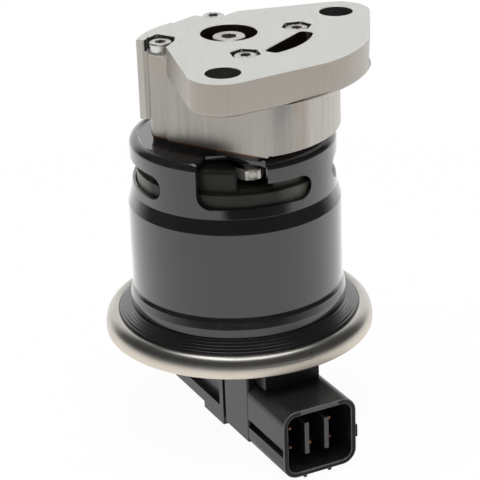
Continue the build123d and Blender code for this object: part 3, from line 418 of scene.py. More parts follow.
def housing_finish():
    """Machined light alloy: a bright lapped face, milled sides, heat tint low on the nose, painted light
    on the right and on the left wing, painted shade in the bolt bores and pockets, and soot where the gas
    runs."""
    metal = Finish("housing_metal")
    place = metal.place()
    x, y, z = metal.split(place)
    radius = (x * x + y * y) ** 0.5
    turn = y.arc(x)
    top = metal.facing()[2] > 0.7
    sides = metal.noise(metal.vector(x * 1000.0, y * 1000.0, z * 24.0), 1.0, 4.0, 0.65)
    lapped = metal.noise(metal.vector((x + y) * 900.0, (x - y) * 60.0, 0.0), 1.0, 3.0, 0.6)
    streak = top * lapped + (1 - top) * (sides - (z > -FLANGE_T) * (sides - 0.5) * 0.6)
    cloud = metal.noise(place, 75.0, 3.0, 0.6)
    grain = metal.noise(place, 2600.0, 2.0, 0.6)
    pits = metal.noise(place, 780.0, 2.0, 0.7).ramp(0.70, 0.76) * (1 - top)
    # bolt bores and screw pockets get painted shade and the gas ways soot, each only below the joint face
    below = z < -FACE_SKIN
    side_y = y.size()
    from_bolt = ((x - BOLT_X) ** 2 + (side_y - BOLT_Y) ** 2) ** 0.5
    bolt = from_bolt < BOLT_HOLE_R + BORE_SKIN
    from_pocket = ((x.size() - POCKET_REACH) ** 2 + (side_y - POCKET_REACH) ** 2) ** 0.5
    pocket = (from_pocket < POCKET_R) * (z > -POCKET_DEPTH + SKIN)
    slot = (x > SLOT_INNER_X - SKIN) * (radius < SLOT_OUTER_R + SKIN) * (side_y < SLOT_HALF_Y)
    gas = ((radius < PORT_R + BORE_SKIN) + slot).ramp(0.0, 1.0) * below
    bore = (bolt + pocket).ramp(0.0, 1.0) * below
    # brown edges round the gas ways, on the joint face
    near_port = (radius - PORT_R).ramp(0.0, PORT_HALO, 1.0, 0.0)
    near_slot = (x > SLOT_INNER_X - SLOT_HALO) * (radius < SLOT_OUTER_R + SLOT_HALO)
    near_slot = near_slot * (side_y < SLOT_HALF_Y + SLOT_HALO_Y)
    halo = (near_port + near_slot * 0.7) * top * grain.ramp(0.35, 0.6) * 0.55
    # heat tint down the front of the nose, with painted light beyond it, on the flange's right and on the
    # left wing
    low = (z < -FLANGE_T) * (x > 0.0)
    blue = (turn - BLUE_TURN).size().ramp(BLUE_CORE, BLUE_REACH, 0.9, 0.0) * low
    blue = blue * cloud.ramp(0.20, 0.55, 0.45, 1.0) * z.ramp(BLUE_END_Z, BLUE_TOP_Z, 0.45, 1.0)
    tan = (turn - TAN_TURN).size().ramp(TAN_CORE, TAN_REACH, 1.0, 0.0)
    tan = tan * low * z.ramp(TAN_TOP_Z, TAN_FULL_Z) * cloud.ramp(0.30, 0.60) * 0.55
    right_light = turn.ramp(NOSE_LIGHT_START, NOSE_LIGHT_FULL) * low * 0.33
    right_light = right_light + turn.ramp(LIGHT_START, LIGHT_FULL) * (x > 0.0) * (z > -FLANGE_T) * 0.18
    wing_light = x * WING_LIGHT_WAY[0] + y * WING_LIGHT_WAY[1] < WING_LIGHT_REACH
    painted_light = right_light + wing_light * 0.40
    tone = metal.mix((z > -FLANGE_T) * cloud.ramp(0.35, 0.60), MILLED_TONE, FLANGE_TONE)
    # painted light: the nose's right, the flange's right and the left wing are lightened
    tone = metal.mix(painted_light, tone, HIGHLIGHT_TONE)
    tone = metal.mix(top, tone, LAPPED_TONE)
    tone = metal.mix(streak.ramp(0.30, 0.75, 0.0, 0.30) * (1 - top * 0.7), tone, MILLED_DARK)
    tone = metal.mix(tan, tone, HEAT_TAN)
    tone = metal.mix(blue, tone, HEAT_BLUE)
    tone = metal.mix(pits * 0.75, tone, MILLED_DARK)
    tone = metal.mix(halo, tone, HEAT_TAN)
    # painted shade: the bolt bores and screw pockets are darkened
    tone = metal.mix(bore, tone, BORE_SHADE)
    tone = metal.mix(gas, tone, GAS_SOOT)
    dull = (bore + gas).ramp(0.0, 1.0)
    return metal.surface(
        Base_Color=tone,
        Metallic=0.88 - dull * 0.6 - top * 0.33,
        Roughness=streak.ramp(0.2, 0.8, 0.24, 0.36) + cloud * 0.06 + dull * 0.25,
        Normal=metal.bump(streak * 0.8 + grain * 0.4 - pits * 0.8, 0.3, 0.00005),
    )


def edge_highlight_finish(name, tone, dull, metallic, roughness):
    """Painted highlight along broken edges: a lighter tone with small dull bites in it."""
    edge = Finish(name)
    bites = edge.noise(edge.place(), 1100.0, 3.0, 0.7)
    return edge.surface(
        Base_Color=edge.mix(bites.ramp(0.45, 0.70), tone, dull),
        Metallic=metallic,
        Roughness=bites.ramp(0.3, 0.7, roughness, roughness + 0.12),
        Normal=edge.bump(bites, 0.3, 0.00004),
    )


housing = soften("valve_housing", HOUSING_EDGE, limit=56, crease=20, highlight_edges=True)
housing.data.materials.append(housing_finish())
# painted highlight on the housing's broken edges
housing.data.materials.append(edge_highlight_finish("housing_edge_highlight", HIGHLIGHT_TONE, EDGE_HIGHLIGHT_DULL, 0.45, 0.34))


# ---- Port, seat and stem guide ----
# Hardened steel seat pressed in under the port, a bronze-coloured bush that guides the stem, and a
# thin cup that keeps soot off it. Hot gas has browned all three.
STEEL_TONE = (0.52, 0.50, 0.47)
BRONZE_TONE = (0.42, 0.30, 0.16)
SCORCHED = (0.085, 0.055, 0.036)
SOOT = (0.018, 0.015, 0.013)


def scorched_finish(name, right_light, amount):
    """Steel browned by hot gas: a clean tone under patches of scorch and soot."""
    steel = Finish(name)
    place = steel.place()
    cloud = steel.noise(place, 240.0, 3.0, 0.6)
    speck = steel.noise(place, 1400.0, 2.0, 0.6)
    burnt = steel.mix(cloud.ramp(0.35, 0.70), SCORCHED, SOOT)
    tone = steel.mix(cloud.ramp(0.30, 0.62, amount, 1.0), right_light, burnt)
    return steel.surface(
        Base_Color=tone,
        Metallic=0.7,
        Roughness=speck.ramp(0.3, 0.7, 0.42, 0.62),
        Normal=steel.bump(speck, 0.3, 0.00005),
    )


def coat_node(node, material):
    """Give a CAD node its finish and leave its shape alone."""
    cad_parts[node].data.materials.clear()
    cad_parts[node].data.materials.append(material)


for node, right_light, amount in (
    ("valve_seat", STEEL_TONE, 0.80),
    ("stem_bushing", BRONZE_TONE, 0.35),
    ("deposit_shield", STEEL_TONE, 0.60),
):
    coat_node(node, scorched_finish(node + "_steel", right_light, amount))


# ---- Pintle ----
# A turned stainless poppet on a ground stem. Its tip stands in the port, with a hexagonal socket
# that holds it while the armature is fixed at the other end.
PINTLE_EDGE = 0.12 * MM
PINTLE_TONE = (0.66, 0.64, 0.61)


def turned_finish(name, tone, dark, roughness=0.28, stain=0.25):
    """Turned or ground bright metal: fine rings about the axis and a few dull patches."""
    metal = Finish(name)
    place = metal.place()
    x, y, z = metal.split(place)
    rings = metal.noise(metal.vector((x * x + y * y) ** 0.5 * 2600.0, 0.0, z * 2600.0), 1.0, 2.0)
    cloud = metal.noise(place, 190.0, 3.0, 0.6)
    return metal.surface(
        Base_Color=metal.mix(cloud.ramp(0.45, 0.75) * stain, tone, dark),
        Metallic=1.0,
        Roughness=rings.ramp(0.2, 0.8, roughness - 0.06, roughness + 0.08),
        Normal=metal.bump(rings, 0.15, 0.00003),
    )


pintle = soften("pintle", PINTLE_EDGE, body="pintle_assembly")
pintle.data.materials.append(turned_finish("pintle_metal", PINTLE_TONE, SCORCHED, 0.30, 0.45))


# ---- Housing screws ----
# Four zinc-plated M4 screws with round heads and six-lobed sockets sit in hexagonal pockets in the
# joint face and pass down through the can's top plate.
SCREW_REACH = 12.78 * MM
SCREW_SEAT_Z = -3.2 * MM
SCREW_END_Z = -33.2 * MM
HEAD_R = 3.0 * MM
HEAD_H = 2.7 * MM
HEAD_FOOT_R = 2.75 * MM
HEAD_CORNER = 0.35 * MM
FOOT_CORNER = 0.1 * MM
SHANK_R = 2.0 * MM
SOCKET_R = 1.6 * MM
SOCKET_LOBE = 0.26
SOCKET_DEPTH = 1.5 * MM
THREAD_TOP_Z = -23.2 * MM
THREAD_PITCH = 0.7 * MM
THREAD_DEPTH = 0.22 * MM
SCREW_TURNS = (0, 20, 8, 35)
SCREW_SIDES = 72
SHARP_ANGLE = radians(35)
ON_AXIS = 1e-7
ZINC_TONE = (0.70, 0.69, 0.67)
ZINC_DULL = (0.40, 0.39, 0.37)


def lathe(name, outline, sides, wave=None):
    """Turn an outline of (radius, height) pairs about Z; wave shifts a radius by its angle."""
    shape = bmesh.new()
    loops = []
    for index, (radius, height) in enumerate(outline):
        if radius < ON_AXIS:
            loops.append([shape.verts.new((0, 0, height))])
            continue
        loop = []
        for step in range(sides):
            angle = tau * step / sides
            reach = radius + (wave(index, angle) if wave else 0.0)
            loop.append(shape.verts.new((reach * cos(angle), reach * sin(angle), height)))
        loops.append(loop)
    for first, second in zip(loops, loops[1:]):
        for step in range(sides):
            after = (step + 1) % sides
            if len(first) == 1:
                shape.faces.new((first[0], second[step], second[after]))
            elif len(second) == 1:
                shape.faces.new((first[after], first[step], second[0]))
            else:
                shape.faces.new((first[step], second[step], second[after], first[after]))
    bmesh.ops.recalc_face_normals(shape, faces=shape.faces)
    mesh = bpy.data.meshes.new(name)
    shape.to_mesh(mesh)
    shape.free()
    return mesh


def rounded(outline, steps=5, closed=False):
    """Round the corners of an outline: points are (radius, height) or (radius, height, corner)."""
    made = []
    count = len(outline)
    for index, point in enumerate(outline):
        here = Vector(point[:2])
        corner = point[2] if len(point) > 2 else 0.0
        ends = index in (0, count - 1) and not closed
        if corner == 0.0 or ends:
            made.append(tuple(here))
            continue
        before = (Vector(outline[index - 1][:2]) - here).normalized()
        after = (Vector(outline[(index + 1) % count][:2]) - here).normalized()
        half = before.angle(after) / 2
        middle = here + (before + after).normalized() * (corner / sin(half))
        start = here + before * (corner / (sin(half) / cos(half)))
        end = here + after * (corner / (sin(half) / cos(half)))
        spoke, last = start - middle, end - middle
        turn = spoke.angle_signed(last)
        for step in range(steps + 1):
            angle = -turn * step / steps
            made.append((
                middle.x + spoke.x * cos(angle) - spoke.y * sin(angle),
                middle.y + spoke.x * sin(angle) + spoke.y * cos(angle),
            ))
    return made


def one_screw():
    """A single screw on the origin's axis, head down to its end, with a thread on the shank."""
    top = SCREW_SEAT_Z + HEAD_H
    outline = [(0.0, top - SOCKET_DEPTH), (SOCKET_R, top - SOCKET_DEPTH), (SOCKET_R, top)]
    outline += rounded([
        (SOCKET_R, top), (HEAD_R, top, HEAD_CORNER), (HEAD_FOOT_R, SCREW_SEAT_Z, FOOT_CORNER),
        (SHANK_R, SCREW_SEAT_Z),
    ])[1:]
    outline.append((SHANK_R, THREAD_TOP_Z))
    ridges = int((THREAD_TOP_Z - SCREW_END_Z) / THREAD_PITCH)
    for ridge in range(ridges):
        start = THREAD_TOP_Z - ridge * THREAD_PITCH
        outline.append((SHANK_R - THREAD_DEPTH, start - THREAD_PITCH / 2))
        outline.append((SHANK_R, start - THREAD_PITCH))
    outline += [(SHANK_R - THREAD_DEPTH, SCREW_END_Z), (0.0, SCREW_END_Z)]

    def lobes(index, angle):
        return SOCKET_R * SOCKET_LOBE * (cos(6 * angle) - 1) / 2 if index in (1, 2) else 0.0

    return lathe("screw", outline, SCREW_SIDES, lobes)


def at_four_corners(name, mesh, material, reach, turns):
    """Geometry Nodes put one piece at each corner of a square, each with its own turn."""
    piece = bpy.data.objects.new(name, mesh)
    bpy.context.scene.collection.objects.link(piece)
    tree = bpy.data.node_groups.new(name + "_corners", "GeometryNodeTree")
    tree.interface.new_socket("Geometry", in_out="INPUT", socket_type="NodeSocketGeometry")
    tree.interface.new_socket("Geometry", in_out="OUTPUT", socket_type="NodeSocketGeometry")
    sizes = {"Reach": reach}
    for index, turn in enumerate(turns):
        sizes[f"Turn {index + 1}"] = radians(turn)
    for label, value in sizes.items():
        socket = tree.interface.new_socket(label, in_out="INPUT", socket_type="NodeSocketFloat")
        socket.default_value = value
    nodes, links = tree.nodes, tree.links
    given = nodes.new("NodeGroupInput")
    result = nodes.new("NodeGroupOutput")
    joined = nodes.new("GeometryNodeJoinGeometry")
    corners = ((-1, -1), (1, -1), (1, 1), (-1, 1))
    for index, corner in enumerate(corners):
        along_x = nodes.new("ShaderNodeMath")
        along_x.operation = "MULTIPLY"
        along_x.inputs[1].default_value = corner[0]
        along_y = nodes.new("ShaderNodeMath")
        along_y.operation = "MULTIPLY"
        along_y.inputs[1].default_value = corner[1]
        spot = nodes.new("ShaderNodeCombineXYZ")
        turn = nodes.new("ShaderNodeCombineXYZ")
        point = nodes.new("GeometryNodePoints")
        instance = nodes.new("GeometryNodeInstanceOnPoints")
        links.new(given.outputs["Reach"], along_x.inputs[0])
        links.new(given.outputs["Reach"], along_y.inputs[0])
        links.new(along_x.outputs[0], spot.inputs["X"])
        links.new(along_y.outputs[0], spot.inputs["Y"])
        links.new(given.outputs[f"Turn {index + 1}"], turn.inputs["Z"])
        links.new(spot.outputs[0], point.inputs["Position"])
        links.new(point.outputs[0], instance.inputs["Points"])
        links.new(given.outputs["Geometry"], instance.inputs["Instance"])
        links.new(turn.outputs[0], instance.inputs["Rotation"])
        links.new(instance.outputs[0], joined.inputs[0])
    real = nodes.new("GeometryNodeRealizeInstances")
    coat = nodes.new("GeometryNodeSetMaterial")
    coat.inputs["Material"].default_value = material
    links.new(joined.outputs[0], real.inputs[0])
    links.new(real.outputs[0], coat.inputs["Geometry"])
    links.new(coat.outputs[0], result.inputs[0])
    return settled(piece, tree, sizes)


def settled(piece, tree, sizes):
    """Run a node tree on a piece with these sizes and keep the plain mesh that it makes."""
    grown = piece.modifiers.new("grown", "NODES")
    grown.node_group = tree
    for item in tree.interface.items_tree:
        if item.in_out == "INPUT" and item.name in sizes:
            grown[item.identifier] = sizes[item.name]
    ready = piece.evaluated_get(bpy.context.evaluated_depsgraph_get())
    mesh = bpy.data.meshes.new_from_object(ready)
    piece.modifiers.clear()
    piece.data = mesh
    mesh.set_sharp_from_angle(angle=SHARP_ANGLE)
    return piece


def zinc_finish(name, tone, dull, metallic=1.0):
    """Plated or near-black steel with dull patches and faint wear."""
    zinc = Finish(name)
    place = zinc.place()
    cloud = zinc.noise(place, 330.0, 3.0, 0.6)
    fine = zinc.noise(place, 2400.0, 2.0, 0.6)
    return zinc.surface(
        Base_Color=zinc.mix(cloud.ramp(0.40, 0.72), tone, dull),
        Metallic=metallic,
        Roughness=cloud.ramp(0.3, 0.7, 0.24, 0.44),
        Normal=zinc.bump(fine, 0.2, 0.00003),
    )


plating = zinc_finish("screw_zinc", ZINC_TONE, ZINC_DULL)
screws = at_four_corners("housing_screw_set", one_screw(), plating, SCREW_REACH, SCREW_TURNS)
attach(screws, "valve_body")
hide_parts("housing_screws")


# ---- Washers and nuts under the can's top plate ----
# Each screw ends in a plain washer, a split spring washer and a hexagon nut, which pull the housing
# down on the can. The washers are given a near-black tone and the nut is zinc-plated.
WASHER_TOP_Z = -28.0 * MM
WASHER_R = 4.0 * MM
WASHER_T = 0.8 * MM
WASHER_CORNER = 0.12 * MM
SPRING_R = 3.5 * MM
SPRING_T = 1.1 * MM
NUT_FLATS = 7.0 * MM
NUT_H = 3.0 * MM
NUT_CHAMFER = 0.30
NUT_FACE = 0.97
NUT_TURNS = (10, 16.5, 5, 40)
WASHER_TURNS = (0, 0, 0, 0)
BORE_R = 2.05 * MM
HEX_SIDES = 72
HEX_HALF = radians(30)
NEAR_BLACK_WASHER = ((0.060, 0.058, 0.055), (0.035, 0.034, 0.033), 1.0)
PLATED = ((0.74, 0.71, 0.65), (0.56, 0.54, 0.48), 0.5)


def one_washer(name, top, thick, outer):
    """A flat ring with its outer rims rounded."""
    bottom = top - thick
    return lathe(name, rounded([
        (BORE_R, top), (outer, top, WASHER_CORNER), (outer, bottom, WASHER_CORNER), (BORE_R, bottom),
        (BORE_R, top),
    ], 3), SCREW_SIDES)


def one_nut():
    """A hexagon nut: six flats whose corners are turned off by a 30 degree cone at both faces."""
    top = WASHER_TOP_Z - WASHER_T - SPRING_T
    bottom = top - NUT_H
    across = NUT_FLATS / 2
    corner_r = across / cos(HEX_HALF)
    drop = (corner_r - across) * NUT_CHAMFER * 2
    outline = [
        (BORE_R, top), (across * NUT_FACE, top), (corner_r, top - drop), (corner_r, bottom + drop),
        (across * NUT_FACE, bottom), (BORE_R, bottom), (BORE_R, top),
    ]

    def flats(index, angle):
        if index not in (2, 3):
            return 0.0
        turn = (angle + HEX_HALF) % (2 * HEX_HALF) - HEX_HALF
        return across / cos(turn) - corner_r

    return lathe("nut", outline, HEX_SIDES, flats)


for name, mesh, node, turns, tones in (
    ("washer_set", one_washer("washer", WASHER_TOP_Z, WASHER_T, WASHER_R), "plain_washers",
     WASHER_TURNS, NEAR_BLACK_WASHER),
    ("spring_washer_set", one_washer("spring_washer", WASHER_TOP_Z - WASHER_T, SPRING_T, SPRING_R),
     "lock_washers", WASHER_TURNS, NEAR_BLACK_WASHER),
    ("nut_set", one_nut(), "housing_nuts", NUT_TURNS, PLATED),
):
    metal = zinc_finish(name + "_metal", *tones)
    piece = at_four_corners(name, mesh, metal, SCREW_REACH, turns)
    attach(piece, "valve_body")
    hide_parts(node)


# ---- Gasket, spacer and stem seal ----
# A thin copper-faced gasket seals the housing's foot, a black steel spacer keeps heat off the can,
# and a moulded seal closes the stem. Only their edges show.


def plain_finish(name, tone, second, metallic, roughness, scale=300.0, grain=0.00004):
    """An even surface with a little drift in tone and a fine grain."""
    even = Finish(name)
    place = even.place()
    cloud = even.noise(place, scale, 3.0, 0.6)
    fine = even.noise(place, scale * 7.0, 2.0, 0.6)
    return even.surface(
        Base_Color=even.mix(cloud.ramp(0.35, 0.70), tone, second),
        Metallic=metallic,
        Roughness=fine.ramp(0.25, 0.75, roughness - 0.06, roughness + 0.08),
        Normal=even.bump(fine, 0.25, grain),
    )


for node, name, tone, second, metallic, roughness in (
    ("base_gasket", "gasket_copper", (0.30, 0.15, 0.075), (0.12, 0.06, 0.035), 0.6, 0.5),
    ("spacer_plate", "spacer_black", (0.012, 0.012, 0.013), (0.03, 0.028, 0.027), 0.0, 0.35),
    ("stem_seal", "seal_graphite", (0.03, 0.03, 0.03), (0.05, 0.048, 0.045), 0.1, 0.7),
):
    coat_node(node, plain_finish(name, tone, second, metallic, roughness))


# ---- Can ----
# Drawn and pressed from 1.4 mm sheet with a stepped wall, four windows and a notch in its rim, then
# dipped and baked in gloss black. The paint rounds every edge a little.
CAN_EDGE = 0.25 * MM
FLARE_TOP_Z = -66.3 * MM
FLARE_END_Z = -67.7 * MM
FLARE_SHIFT = 0.9 * MM
SILL_Z = -38.5 * MM
SILL_R = 26.8 * MM
SILL_HALF = 12.2 * MM
SILL_PULL = 0.5 * MM
PAINT_TONE = (0.010, 0.0105, 0.011)
PAINT_DUST = (0.030, 0.030, 0.031)
PEEL_HEIGHT = 0.02 * MM


def gloss_finish(name):
    """Baked black enamel: a hard clear skin with slight orange peel and a little dust."""
    paint = Finish(name)
    place = paint.place()
    peel = paint.noise(place, 330.0, 2.0, 0.5)
    dust = paint.noise(place, 2100.0, 3.0, 0.7).ramp(0.64, 0.76)
    x, y, z = paint.split(place)
    cloud = paint.noise(place, 60.0, 2.0)
    drawn = paint.noise(paint.vector(y.arc(x) * 14.0, z * 1500.0, 0.0), 1.0, 4.0, 0.6)
    smear = drawn.ramp(0.40, 0.75) * cloud.ramp(0.35, 0.65)
    return paint.surface(
        Base_Color=paint.mix(dust * 0.5 + smear * 0.5, PAINT_TONE, PAINT_DUST),
        Roughness=cloud.ramp(0.3, 0.7, 0.11, 0.18) + smear * 0.16 + dust * 0.1,
        IOR=1.50,
        Coat_Weight=1.0,
        Coat_IOR=1.50,
        Coat_Roughness=0.05,
        Normal=paint.bump(peel + drawn * 0.8, 0.35, PEEL_HEIGHT),
    )


def drawn_wall(point):
    """Drawing starts the flare a little low and pulls in the wall's edge under each window."""
    if FLARE_TOP_Z > point.z > FLARE_END_Z:
        return point - Vector((0, 0, FLARE_SHIFT))
    flat = Vector((point.x, point.y, 0))
    across = abs(abs(point.x) - abs(point.y)) / 2 ** 0.5
    if flat.length > SILL_R and abs(point.z - SILL_Z) < SKIN and across < SILL_HALF:
        return point - flat.normalized() * SILL_PULL * (1 - (across / SILL_HALF) ** 3)
    return point


can = soften("solenoid_can", CAN_EDGE, steps=3, crease=7, settle=drawn_wall)
can.data.materials.append(gloss_finish("can_enamel"))


# ---- Coil cover ----
# Glass-filled resin moulded over the winding, dark olive, with bays for the nuts. It shows through
# the windows and the rim's notch.
COVER_EDGE = 0.20 * MM
COVER_TONE = (0.016, 0.017, 0.014)
COVER_CLOUD = (0.030, 0.032, 0.026)
COVER_LIT = (0.150, 0.160, 0.128)
LIT_FRONT_TURNS = (radians(-34.0), radians(-17.0))
LIT_SIDE_TURNS = (radians(-112.0), radians(-124.0))


def resin_finish():
    """Dark olive resin, satin from the mould, with painted light at the front and side where the windows
    let light in.
    """
    resin = Finish("cover_resin")
    place = resin.place()
    x, y, z = resin.split(place)
    turn = y.arc(x)
    cloud = resin.noise(place, 220.0, 3.0, 0.6)
    fine = resin.noise(place, 1500.0, 2.0, 0.6)
    # painted light: paler patches where light comes in through the windows
    window_light = (turn.ramp(*LIT_FRONT_TURNS) + turn.ramp(*LIT_SIDE_TURNS)) * cloud.ramp(0.25, 0.65, 0.55, 1.0)
    tone = resin.mix(window_light, resin.mix(cloud, COVER_TONE, COVER_CLOUD), COVER_LIT)
    return resin.surface(
        Base_Color=tone,
        Roughness=fine.ramp(0.25, 0.75, 0.30, 0.42),
        Specular_IOR_Level=0.25,
        Normal=resin.bump(fine, 0.25, 0.00004),
    )


cover = soften("coil_cover", COVER_EDGE)
cover.data.materials.append(resin_finish())


# ---- Base flange ----
# A pressed steel ring under the can's lip, rolled into fine ridges that step down to the crimp ring,
# under the same black enamel as the can. The crimp ring folds over its plain outer edge.
LIP_R = 29.2 * MM
LIP_END_Z = -73.6 * MM
RIDGE_END_R = 32.65 * MM
FLANGE_R = 34.7 * MM
FLANGE_EDGE_Z = -76.75 * MM
FLANGE_END_Z = -77.0 * MM
FLANGE_BORE_R = 24.5 * MM
RIDGE_COUNT = 5
RIDGE_DROP = 0.59 * MM
RIDGE_EDGE = 0.045 * MM
TREAD = 0.80
BAND_STEPS = 240


def turned_band(name, outline, band_radius, material):
    """Geometry Nodes sweep a closed outline of (radius, height) pairs round the valve's axis."""
    count = len(outline)
    drawn = bpy.data.meshes.new(name + "_outline")
    drawn.from_pydata(
        [(radius - band_radius, -height, 0.0) for radius, height in outline],
        [(index, (index + 1) % count) for index in range(count)], [],
    )
    piece = bpy.data.objects.new(name, drawn)
    bpy.context.scene.collection.objects.link(piece)
    tree = bpy.data.node_groups.new(name + "_sweep", "GeometryNodeTree")
    tree.interface.new_socket("Geometry", in_out="INPUT", socket_type="NodeSocketGeometry")
    tree.interface.new_socket("Geometry", in_out="OUTPUT", socket_type="NodeSocketGeometry")
    tree.interface.new_socket("Band Radius", in_out="INPUT", socket_type="NodeSocketFloat")
    tree.interface.new_socket("Steps", in_out="INPUT", socket_type="NodeSocketInt")
    nodes, links = tree.nodes, tree.links
    given = nodes.new("NodeGroupInput")
    result = nodes.new("NodeGroupOutput")
    section = nodes.new("GeometryNodeMeshToCurve")
    path = nodes.new("GeometryNodeCurvePrimitiveCircle")
    sweep = nodes.new("GeometryNodeCurveToMesh")
    real = nodes.new("GeometryNodeRealizeInstances")
    coat = nodes.new("GeometryNodeSetMaterial")
    coat.inputs["Material"].default_value = material
    links.new(given.outputs["Geometry"], section.inputs[0])
    links.new(given.outputs["Band Radius"], path.inputs["Radius"])
    links.new(given.outputs["Steps"], path.inputs["Resolution"])
    links.new(path.outputs[0], sweep.inputs["Curve"])
    links.new(section.outputs[0], sweep.inputs["Profile Curve"])
    links.new(sweep.outputs[0], real.inputs[0])
    links.new(real.outputs[0], coat.inputs["Geometry"])
    links.new(coat.outputs[0], result.inputs[0])
    settled(piece, tree, {"Band Radius": band_radius, "Steps": BAND_STEPS})
    shape = bmesh.new()
    shape.from_mesh(piece.data)
    bmesh.ops.recalc_face_normals(shape, faces=shape.faces)
    for face in shape.faces:
        face.smooth = True
    shape.to_mesh(piece.data)
    shape.free()
    piece.data.set_sharp_from_angle(angle=SHARP_ANGLE)
    return piece


def ridge_outline():
    """Rolled steps from the lip out to the crimp ring, each a little lower and rounder."""
    pitch = (RIDGE_END_R - LIP_R) / RIDGE_COUNT
    made = []
    for index in range(RIDGE_COUNT):
        tread_r = LIP_R + index * pitch
        tread_z = LIP_END_Z - index * RIDGE_DROP
        made.append((tread_r, tread_z))
        made.append((tread_r + TREAD * pitch, tread_z, RIDGE_EDGE * (index + 1)))
    return made


base = turned_band("base_flange_band", rounded(
    [(FLANGE_BORE_R, LIP_END_Z)] + ridge_outline() + [
        (RIDGE_END_R, FLANGE_EDGE_Z), (FLANGE_R, FLANGE_EDGE_Z), (FLANGE_R, FLANGE_END_Z),
        (FLANGE_BORE_R, FLANGE_END_Z),
    ], 4, closed=True), LIP_R, gloss_finish("base_enamel"))
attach(base, "valve_body")
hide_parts("base_flange")


# ---- Crimp ring ----
# A bright stainless band rolled over the base flange and under the cap. The rolling tool leaves a
# round crest, a faint crease part of the way round, a seam, and a duller upright skirt.
HEM_R = 32.8 * MM
HEM_TOP_Z = -76.45 * MM
HEM_CORNER = 0.2 * MM
ROLL_R = 33.79 * MM
ROLL_TOP_Z = -76.2 * MM
ROLL_REACH = 2.6 * MM
ROLL_DROP = 4.2 * MM
ROLL_STEPS = 20
CREASE_Z = -78.9 * MM
SKIRT_R = 36.36 * MM
SKIRT_END_Z = -81.8 * MM
SKIRT_CORNER = 0.5 * MM
CAP_FLANGE_Z = -80.3 * MM
DULL_START_Z = -77.2 * MM
DULL_FULL_Z = -80.2 * MM
SEAM_START_Z = -76.9 * MM
SEAM_FULL_Z = -77.4 * MM
SEAM_TURN = radians(-26.8)
SEAM_CORE = 0.04 * MM
SEAM_EDGE = 0.14 * MM
CREASE_START = radians(-78.0)
CREASE_FULL = radians(-38.0)
CREASE_CORE = 0.05 * MM
CREASE_EDGE = 0.18 * MM
STAINLESS = (0.66, 0.64, 0.59)
SKIRT_REFLECTION_TONE = (0.76, 0.69, 0.60)
STAIN_TONE = (0.44, 0.40, 0.35)
CREASE_SHADE_AND_SEAM_TONE = (0.10, 0.095, 0.09)


def crimp_finish():
    """Rolled stainless: fine lines round the band, painted shade along a crease, a seam, and a duller
    skirt painted warmer and brighter as a reflection.
    """
    steel = Finish("crimp_stainless")
    place = steel.place()
    x, y, z = steel.split(place)
    radius = (x * x + y * y) ** 0.5
    turn = y.arc(x)
    lines = steel.noise(steel.vector(radius * 3200.0, z * 3200.0, 0.0), 1.0, 2.0)
    cloud = steel.noise(place, 160.0, 3.0, 0.6)
    skirt = z.ramp(DULL_START_Z, DULL_FULL_Z)
    front = turn.ramp(CREASE_START, CREASE_FULL) * (SEAM_TURN > turn)
    crease = (1 - (z - CREASE_Z).size().ramp(CREASE_CORE, CREASE_EDGE)) * front
    seam = 1 - ((turn - SEAM_TURN).size() * radius).ramp(SEAM_CORE, SEAM_EDGE)
    seam = seam * z.ramp(CREASE_Z - SKIN, CREASE_Z + SKIN)
    seam = seam * z.ramp(SEAM_START_Z, SEAM_FULL_Z)
    # painted reflection: the skirt gets a warmer, brighter copy of the steel's colour
    tone = steel.mix(skirt, STAINLESS, SKIRT_REFLECTION_TONE)
    tone = steel.mix(cloud.ramp(0.5, 0.8) * 0.25, tone, STAIN_TONE)
    # painted shade along the crease; the seam is a dark joint
    tone = steel.mix(crease * 0.55 + seam * 0.6, tone, CREASE_SHADE_AND_SEAM_TONE)
    return steel.surface(
        Base_Color=tone,
        Metallic=1.0,
        Roughness=lines.ramp(0.2, 0.8, 0.26, 0.34) + skirt * 0.10,
        Normal=steel.bump(lines - (crease + seam) * 2.0, 0.12, 0.00003),
    )


roll = [
    (ROLL_R + ROLL_REACH * sin(radians(90 * step / ROLL_STEPS)),
     ROLL_TOP_Z - ROLL_DROP * (1 - cos(radians(90 * step / ROLL_STEPS))))
    for step in range(ROLL_STEPS + 1)
]
crimp = turned_band("crimp_ring_band", rounded(
    [(HEM_R, FLANGE_EDGE_Z), (HEM_R, HEM_TOP_Z, HEM_CORNER)] + roll + [
        (SKIRT_R, SKIRT_END_Z, SKIRT_CORNER), (HEM_R, SKIRT_END_Z), (HEM_R, CAP_FLANGE_Z),
        (FLANGE_R, CAP_FLANGE_Z), (FLANGE_R, FLANGE_EDGE_Z),
    ], 8, closed=True), ROLL_R, crimp_finish())
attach(crimp, "valve_body")
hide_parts("crimp_ring")


# ---- Sensor cap ----
# Moulded in black glass-filled plastic: a flange under the crimp ring, a block round the sensor and
# the shroud of the harness socket. A fine grain from the mould shows on its sides.
CAP_EDGE = 0.20 * MM
MOUTH_WAY = Vector((0.8545, -0.5195, 0.0))
MOUTH_SIDE = Vector((0.5195, 0.8545, 0.0))
GROOVE_FLOOR = 10.0 * MM
GROOVE_START = 24.5 * MM
GROOVE_SKIN = 0.12 * MM
GROOVE_LOW_Z = -101.1 * MM
GROOVE_HIGH_Z = -98.5 * MM
GROOVE_CUT = 0.9 * MM
TIP_REACH = 38.0 * MM
TIP_SPREAD = 5.5 * MM
TIP_LOW_Z = -106.5 * MM
TIP_HIGH_Z = -88.0 * MM
CAP_TONE = (0.013, 0.0135, 0.014)
CAP_FLOW = (0.019, 0.0195, 0.020)
CAP_TIP_LIGHT = (0.105, 0.107, 0.112)
CAP_EDGE_HIGHLIGHT = (0.150, 0.152, 0.158)
CAP_EDGE_HIGHLIGHT_DULL = (0.080, 0.081, 0.084)


